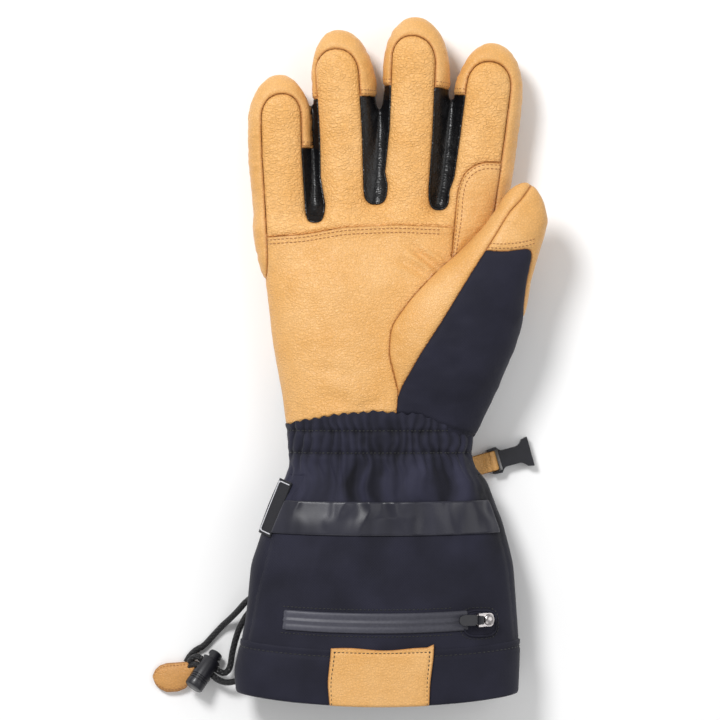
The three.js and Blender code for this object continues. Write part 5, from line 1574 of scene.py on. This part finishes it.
# The hem.
# The cuff's end is turned up over the drawcord as a band of the same softshell, a little proud, and sewn
# down along its upper edge.
HEM_PROUD = 0.5
hem_levels = np.concatenate(
    [
        [HEM_START + 0.9], np.arange(HEM_START, -WRIST_TO_HEM_END + 1.8, -CUFF_STEP),
        [-121.6, -122.3, -122.8, -123]
    ]
)
hem_lift = np.concatenate([[-1.2], np.full(len(hem_levels) - 5, HEM_PROUD), [0.45, 0.3, 0, -0.7]])
turn_grid, level_grid = np.meshgrid(turns, hem_levels)
lifts = np.repeat(hem_lift[:, None], CUFF_SIDES, 1)
sewn = -0.5 * np.exp(-(((level_grid - HEM_START + 3.2) / 0.9) ** 2))
hem_points = np.concatenate([cuff_point(t, y, l) for t, y, l in zip(turn_grid, level_grid, lifts + sewn)])
hem = make_piece(
    "hem_cloth", hem_points, [face[::-1] for face in grid_faces(len(hem_levels), CUFF_SIDES, True)],
    [softshell, lining], nodes=["hem_band"], wall=3.0,
    marks={"seam": np.full(len(hem_points), 9.0)},
)

# The thread of the cuff.
# Black thread holds the two rows of elastic between the pleats, and the hem's turning below its upper edge.
black_thread = thread_finish("black_thread", colour(8, 8, 10))
front_turns = np.linspace(0.08 * math.pi, 0.92 * math.pi, 260)
elastic_rows = [cuff_point(front_turns, row, 0.15) for row in GATHER_ROWS]
elastic_rows = [row[row[:, 2] > 21] for row in elastic_rows]
hem_rows = [cuff_point(np.linspace(0.02 * math.pi, 0.98 * math.pi, 200), HEM_START - 3.2, HEM_PROUD - 0.3)]
sew("elastic_stitches", elastic_rows, black_thread, pitch=2.2, stitch=1.4, thread=0.6)
sew("hem_stitches", hem_rows, black_thread, pitch=2.4, stitch=1.8)

# The leather patch on the hem.
# A tan rectangle is folded over the middle of the hem's edge and sewn with black thread a little inside its
# edge.
PATCH_LEFT, PATCH_RIGHT = 0.345, 0.37
PATCH_TOP = -94.6
PATCH_THICKNESS = 1.2
PATCH_WIDTH, PATCH_HEIGHT = 50, 27
PATCH_SEAM = 0.03  # how far in its side seams lie, as a share of half the hem


def turn_at(share):
    """The angle round the cuff's front where the width across is that share of its half."""
    return np.arccos(np.sign(share) * np.abs(share) ** (SQUARENESS / 2))


across = np.linspace(0, 1, 76)
down = np.linspace(0, 1, 46)
patch_shares = -PATCH_LEFT + across * (PATCH_LEFT + PATCH_RIGHT)
points, edge_marks = [], []
for v in down:
    corner_tip = (
        1.6 * np.exp(-(((1 - across) * PATCH_WIDTH) / 2.2) ** 2) * np.exp(-((v * PATCH_HEIGHT) / 2.5) ** 2)
    )
    wave = 0.5 * np.sin(across * 9) * np.exp(-v * 5)
    y = PATCH_TOP - v * (WRIST_TO_HEM_END + PATCH_TOP) + corner_tip + wave
    inset = np.minimum(np.minimum(across, 1 - across) * PATCH_WIDTH, v * PATCH_HEIGHT)
    lift = (
        HEM_PROUD + 0.35
        + PATCH_THICKNESS * (
            1 - 0.35 * np.exp(-((inset / 0.7) ** 2))
        ) - 0.45 * np.exp(-(((inset - 1.9) / 0.6) ** 2))
    )
    lift = lift - 0.9 * max(0, (v - 0.96) / 0.04) ** 2
    points.append(
        np.concatenate(
            [cuff_point(turn_at(s), h, k) for s, h, k in zip(patch_shares * (1 - 0.04 * v), y, lift)]
        )
    )
    edge_marks.append(np.maximum(0.3, inset))
hem_patch = make_piece(
    "hem_patch_leather", np.concatenate(points), grid_faces(len(down), len(across)), [tan_leather],
    nodes=["hem_patch"], wall=PATCH_THICKNESS,
    marks={"seam": np.concatenate(edge_marks), "flex": np.full(len(down) * len(across), 0.35)},
)
inset_shares = np.linspace(-PATCH_LEFT + PATCH_SEAM, PATCH_RIGHT - PATCH_SEAM, 60)
hem_patch_rows = [
    np.concatenate([cuff_point(turn_at(s), PATCH_TOP - 1.9, HEM_PROUD + 1.2) for s in inset_shares]),
    np.concatenate(
        [
            cuff_point(turn_at(-PATCH_LEFT + PATCH_SEAM), y, HEM_PROUD + 1.2)
            for y in np.linspace(PATCH_TOP - 2, -122, 30)
        ]
    ),
    np.concatenate(
        [
            cuff_point(turn_at(PATCH_RIGHT - PATCH_SEAM), y, HEM_PROUD + 1.2)
            for y in np.linspace(PATCH_TOP - 2, -122, 30)
        ]
    ),
]
sew("hem_patch_stitches", hem_patch_rows, black_thread, pitch=2.0, stitch=1.5, thread=0.5)

# The reflective band.
# A strip of dark grey satin film is welded across the cuff below the gathers, from one seam of the front to
# the other.
BAND = {"top": -22.4, "bottom": -39.1, "left": (0.87, 0.905), "right": (0.94, 0.945), "thickness": 0.5}
satin, tree, shader = new_finish("satin_film", Roughness=0.36, Specular_IOR_Level=0.4, Anisotropic=0.4)
place = add(tree, "ShaderNodeTexCoord").outputs["Object"]
beads = noise(tree, place, 2600.0, 2.0)
# Painted sheen: lighter vertical streaks in the film's colour stand for the sheen that its wrinkles catch.
painted_sheen_streaks = add(
    tree, "ShaderNodeTexNoise",
    {
        "Vector": add(
            tree, "ShaderNodeMapping", {"Vector": place, "Scale": (1, 0.12, 0.3)}
        ).outputs["Vector"],
        "Scale": 90.0
    }
)
tones = two_tones(tree, painted_sheen_streaks.outputs["Fac"], colour(33, 33, 43), colour(50, 50, 61), 0.35, 0.75)
tree.links.new(tones, shader.inputs["Base Color"])
raise_relief(tree, shader, beads, 0.00004, 0.5)


def strip_on_cuff(
    name, top, bottom, left, right, lift, finish, node, wall, rows=18, columns=170, profile=None
):
    """A flat strip laid on the cuff's front between two heights, with its ends at shares of the half
    width."""
    points, marks = [], []
    for v in 0.5 - 0.5 * np.cos(np.linspace(0, math.pi, rows)):
        y = top + v * (bottom - top)
        shares = np.linspace(-np.interp(v, [0, 1], left), np.interp(v, [0, 1], right), columns)
        turn = turn_at(shares)
        rounding = 0.4 * math.exp(-((min(v, 1 - v) * abs(bottom - top) / 0.3) ** 2))
        raised = (
            lift - rounding + (profile(v, np.linspace(0, 1, columns)) if profile else 0) * np.ones(columns)
        )
        points.append(np.concatenate([cuff_point(t, y, k) for t, k in zip(turn, raised)]))
        marks.append(np.full(columns, min(v, 1 - v) * abs(bottom - top)))
    return make_piece(
        name, np.concatenate(points), grid_faces(rows, columns), [finish], nodes=[node], wall=wall,
        marks={"seam": np.concatenate(marks)}
    )


band = strip_on_cuff(
    "reflective_film", BAND["top"], BAND["bottom"], BAND["left"], BAND["right"], 1.15, satin,
    "reflective_band", BAND["thickness"], rows=20
)

# The pocket's zip.
# A coil zip lies under a welded tape of grey film across the cuff. Its slider parks at the thumb's side in
# a stitched black surround.
TAPE = {"middle": -82, "width": 10, "left": 0.715, "right": 0.62, "thickness": 0.8}
SURROUND = {"left": 41, "right": 56.8, "middle": -82.4, "height": 12.4}


def tape_profile(v, u):
    """Three low ridges along the tape, and its rounded near end."""
    ridges = 0.28 * abs(math.sin(3 * math.pi * v)) + 0.35 * math.exp(-(((v - 0.5) / 0.05) ** 2))
    return ridges - 0.9 * np.exp(-((u * 100 / 1.2) ** 2)) - (0.7 if v in (0, 1) else 0)


weld, tree, shader = new_finish("welded_tape", Roughness=0.45, Specular_IOR_Level=0.4)
place = add(tree, "ShaderNodeTexCoord").outputs["Object"]
mottle = noise(tree, place, 700.0, 4.0)
tones = two_tones(tree, mottle, colour(62, 62, 73), colour(84, 84, 95))
# The tape's colour is scaled by its place across the cuff, from 0.95 at its left down to 0.55 towards its
# right.
along_tape = add(tree, "ShaderNodeSeparateXYZ", {0: place}).outputs["X"]
left_to_right_fade = add(
    tree, "ShaderNodeMapRange",
    {"Value": along_tape, "From Min": -0.05, "From Max": 0.045, "To Min": 0.95, "To Max": 0.55}
)
coloured = add(tree, "ShaderNodeVectorMath", {0: tones, "Scale": left_to_right_fade.outputs["Result"]}, operation="SCALE")
tree.links.new(coloured.outputs["Vector"], shader.inputs["Base Color"])
raise_relief(tree, shader, mottle, 0.00006, 0.5)
tape = strip_on_cuff(
    "zip_tape_film", TAPE["middle"] + TAPE["width"] / 2, TAPE["middle"] - TAPE["width"] / 2,
    (TAPE["left"], TAPE["left"]), (TAPE["right"], TAPE["right"]),
    1.0, weld, "zip_tape", TAPE["thickness"], rows=31, columns=150, profile=tape_profile,
)


def on_cuff(x, y, lift):
    """The point of the cuff's front at x and y in plan. The droop of lines across the cuff is taken off y
    first."""
    y = y - droop(x, y)
    share = (x - body_shift(y)) / body_half(y)
    return cuff_point(turn_at(np.clip(share, -0.999, 0.999)), y, lift)[0]


def surround_line(grow, lift):
    """A rounded oblong round the parked slider, laid on the cuff."""
    half_width, half_height = (SURROUND["right"] - SURROUND["left"]) / 2 + grow, SURROUND["height"] / 2 + grow
    middle = (SURROUND["left"] + SURROUND["right"]) / 2
    turns = np.linspace(0, 2 * math.pi, 90)
    power = 0.62
    c, s = np.cos(turns), np.sin(turns)
    xs = middle + half_width * np.sign(c) * np.abs(c) ** power
    ys = SURROUND["middle"] + half_height * np.sign(s) * np.abs(s) ** power
    return np.array([on_cuff(x, y, lift) for x, y in zip(xs, ys)])


rim_line = surround_line(0, 0.75)
points, faces, places = tube(rim_line, 0.5, 10)
rim = make_piece("zip_surround_edge", points, faces, [softshell])
middle_spot = on_cuff((SURROUND["left"] + SURROUND["right"]) / 2, SURROUND["middle"], 0.75)
rings = [middle_spot + (rim_line[:-1] - middle_spot) * share for share in (1, 0.75, 0.5, 0.25, 0.02)]
for k, ring in enumerate(rings):
    rings[k] = np.array([on_cuff(p[0], p[1], 0.55) for p in ring])
count = len(rings[0])
faces = [
    (i * count + k, (i + 1) * count + k, (i + 1) * count + (k + 1) % count, i * count + (k + 1) % count)
    for i in range(4)
    for k in range(count)
]
faces.append(tuple(4 * count + k for k in range(count)))
floor = make_piece("zip_surround_floor", np.concatenate(rings), faces, [softshell], wall=0.4)
tape_turns = turn_at(np.linspace(-TAPE["left"], 0.5, 120))
zip_rows = [cuff_point(tape_turns, TAPE["middle"] + way * (TAPE["width"] / 2 + 1.6), 0.1) for way in (1, -1)]
sew("zip_stitches", [surround_line(1.5, 0.1), *zip_rows], black_thread, pitch=2, stitch=1.4)


def finished_copy(name, node, finish, bevel, body="glove"):
    """A CAD piece's own form with its doubles merged and its edges softened."""
    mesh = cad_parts[node].data.copy()
    mesh.name = name
    mesh.materials.clear()
    mesh.materials.append(finish)
    closed(mesh)
    piece = bpy.data.objects.new(name, mesh)
    scene.collection.objects.link(piece)
    if bevel:
        soften = piece.modifiers.new("edges", "BEVEL")
        soften.width = bevel * MM
        soften.segments = 2
        soften.limit_method = "ANGLE"
        soften.angle_limit = math.radians(35)
    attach(piece, body)
    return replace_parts(piece, node)


zinc, tree, shader = new_finish("cast_zinc", Roughness=0.25, Metallic=1.0)
place = add(tree, "ShaderNodeTexCoord").outputs["Object"]
wear = noise(tree, place, 900.0, 4.0)
tones = two_tones(tree, wear, colour(150, 146, 148), colour(214, 208, 206))
tree.links.new(tones, shader.inputs["Base Color"])
polish = add(tree, "ShaderNodeMapRange", {"Value": wear, "To Min": 0.14, "To Max": 0.42})
tree.links.new(polish.outputs["Result"], shader.inputs["Roughness"])
raise_relief(tree, shader, wear, 0.00008, 0.4)
slider = finished_copy("slider", "zip_slider", zinc, 0.25)
pull = finished_copy("slider_pull", "zip_pull", moulded, 0.25, body="zip_pull")

# The side label.
# A folded tab of black woven tape with a pale woven border is caught in the cuff's left seam. It is left
# without words.
label_cloth, tree, shader = new_finish("woven_label", Roughness=0.8, Sheen_Weight=0.1)
place = add(tree, "ShaderNodeTexCoord").outputs["Object"]
picks = add(
    tree, "ShaderNodeTexWave", {"Vector": place, "Scale": 520.0, "Distortion": 1.0}, bands_direction="Y"
).outputs["Fac"]
tones = two_tones(tree, picks, colour(14, 14, 20), colour(26, 26, 34))
tree.links.new(tones, shader.inputs["Base Color"])
raise_relief(tree, shader, picks, 0.0001, 0.6)
label_corners = np.array([v.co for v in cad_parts["side_label"].data.vertices]) / MM - WRIST
label_middle = (label_corners.max(0) + label_corners.min(0)) / 2
_, _, axes = np.linalg.svd(np.unique(np.round(label_corners, 4), axis=0) - label_middle)
long_way, wide_way, up_way = axes
long_way = long_way * np.sign(long_way[1])
wide_way = -wide_way * np.sign(wide_way[0])
up_way = up_way * np.sign(up_way[2])
LABEL_LENGTH, LABEL_WIDTH, LABEL_THICKNESS = 29, 9, 0.9


def on_label(along, out, lift=0.0):
    """A point of the label: along it, out from its seam, and off its face, with the curl of a soft fold."""
    curl = (
        0.7 * np.sin(math.pi * (along / LABEL_LENGTH + 0.5)) * out / LABEL_WIDTH
        - 0.5 * (out / LABEL_WIDTH) ** 2
    )
    return label_middle + long_way * along + wide_way * (out - LABEL_WIDTH / 2) + up_way * (curl + lift)


steps, widths = np.linspace(-LABEL_LENGTH / 2, LABEL_LENGTH / 2, 48), np.linspace(0, LABEL_WIDTH, 16)
fold = [
    LABEL_THICKNESS / 2 * math.sqrt(max(0.04, 1 - max(0, (w - LABEL_WIDTH + 0.6) / 0.6) ** 2)) for w in widths
]
points = [on_label(a, w, LABEL_THICKNESS / 2 - 0.45 + f) for a in steps for w, f in zip(widths, fold)]
label = make_piece(
    "label_tab", points, grid_faces(48, 16), [label_cloth], nodes=["side_label"], wall=LABEL_THICKNESS
)
closed(label.data)
pale_thread = thread_finish("pale_thread", colour(226, 226, 232))
LABEL_INSET = 1.4
corner_turns = np.linspace(0, math.pi / 2, 8)
half_length, radius = LABEL_LENGTH / 2 - LABEL_INSET, 1.6
border = [
    (half_length - radius + radius * math.sin(t), LABEL_WIDTH - LABEL_INSET - radius + radius * math.cos(t))
    for t in corner_turns
]
border = [(-a, w) for a, w in border[::-1]] + border
border = [(-half_length, 0.4), *border, (half_length, 0.4)]
border_line = smooth_line([on_label(a, w, LABEL_THICKNESS / 2 + 0.3) for a, w in border], 0.5)
points, faces, places = tube(border_line, 0.3, 8)
border_piece = make_piece("label_border", points, faces, [pale_thread])

# The wrist's loop and clip.
# A strap of tan leather is sewn into the thumb's side of the wrist and folded round the bar of a moulded
# clip, which joins the two gloves of a pair.
BAR = {"x": 56.9, "y": -3.66, "z": 2.7, "turn": math.radians(15.5)}
STRAP_WIDTH, STRAP_THICKNESS = 10, 1.2
UPPER_RUN = [(-15, 6.2), (-9, 4.7), (-5, 4.15), (-2.4, 4.3)]
LOWER_RUN = [(-2.4, 1.1), (-5, 1.25), (-9, 1.9), (-15, 3.6)]
LOOP_RADIUS = 1.95
loop_turns = np.linspace(math.radians(125), math.radians(-125), 15)
run = [
    *UPPER_RUN, *[(LOOP_RADIUS * math.cos(t), BAR["z"] + LOOP_RADIUS * math.sin(t)) for t in loop_turns],
    *LOWER_RUN
]
run = smooth_line([(x, 0, z) for x, z in run], 0.5)


def by_clip(point):
    x, y, z = point
    c, s = math.cos(BAR["turn"]), math.sin(BAR["turn"])
    return np.array([BAR["x"] + x * c - y * s, BAR["y"] + x * s + y * c, z])


breadth = np.linspace(-STRAP_WIDTH / 2, STRAP_WIDTH / 2, 18)
ahead = np.gradient(run, axis=0)
outward = np.stack([-ahead[:, 2], ahead[:, 0]], 1)
outward /= np.linalg.norm(outward, axis=1)[:, None]
points, edge_marks = [], []
for (x, _, z), (nx, nz) in zip(run, outward):
    for b in breadth:
        rolled = STRAP_THICKNESS / 2 - 0.3 * math.exp(-(((STRAP_WIDTH / 2 - abs(b)) / 0.5) ** 2))
        points.append(by_clip((x + nx * rolled, b, max(0.05, z + nz * rolled))))
        edge_marks.append(STRAP_WIDTH / 2 - abs(b) + 0.4)
strap = make_piece(
    "clip_strap", points, grid_faces(len(run), len(breadth)), [tan_leather], nodes=["wrist_strap"],
    wall=STRAP_THICKNESS,
    marks={"seam": edge_marks, "flex": np.full(len(points), 0.3)},
)
clip = finished_copy("glove_clip", "clip_buckle", moulded, 0.4)
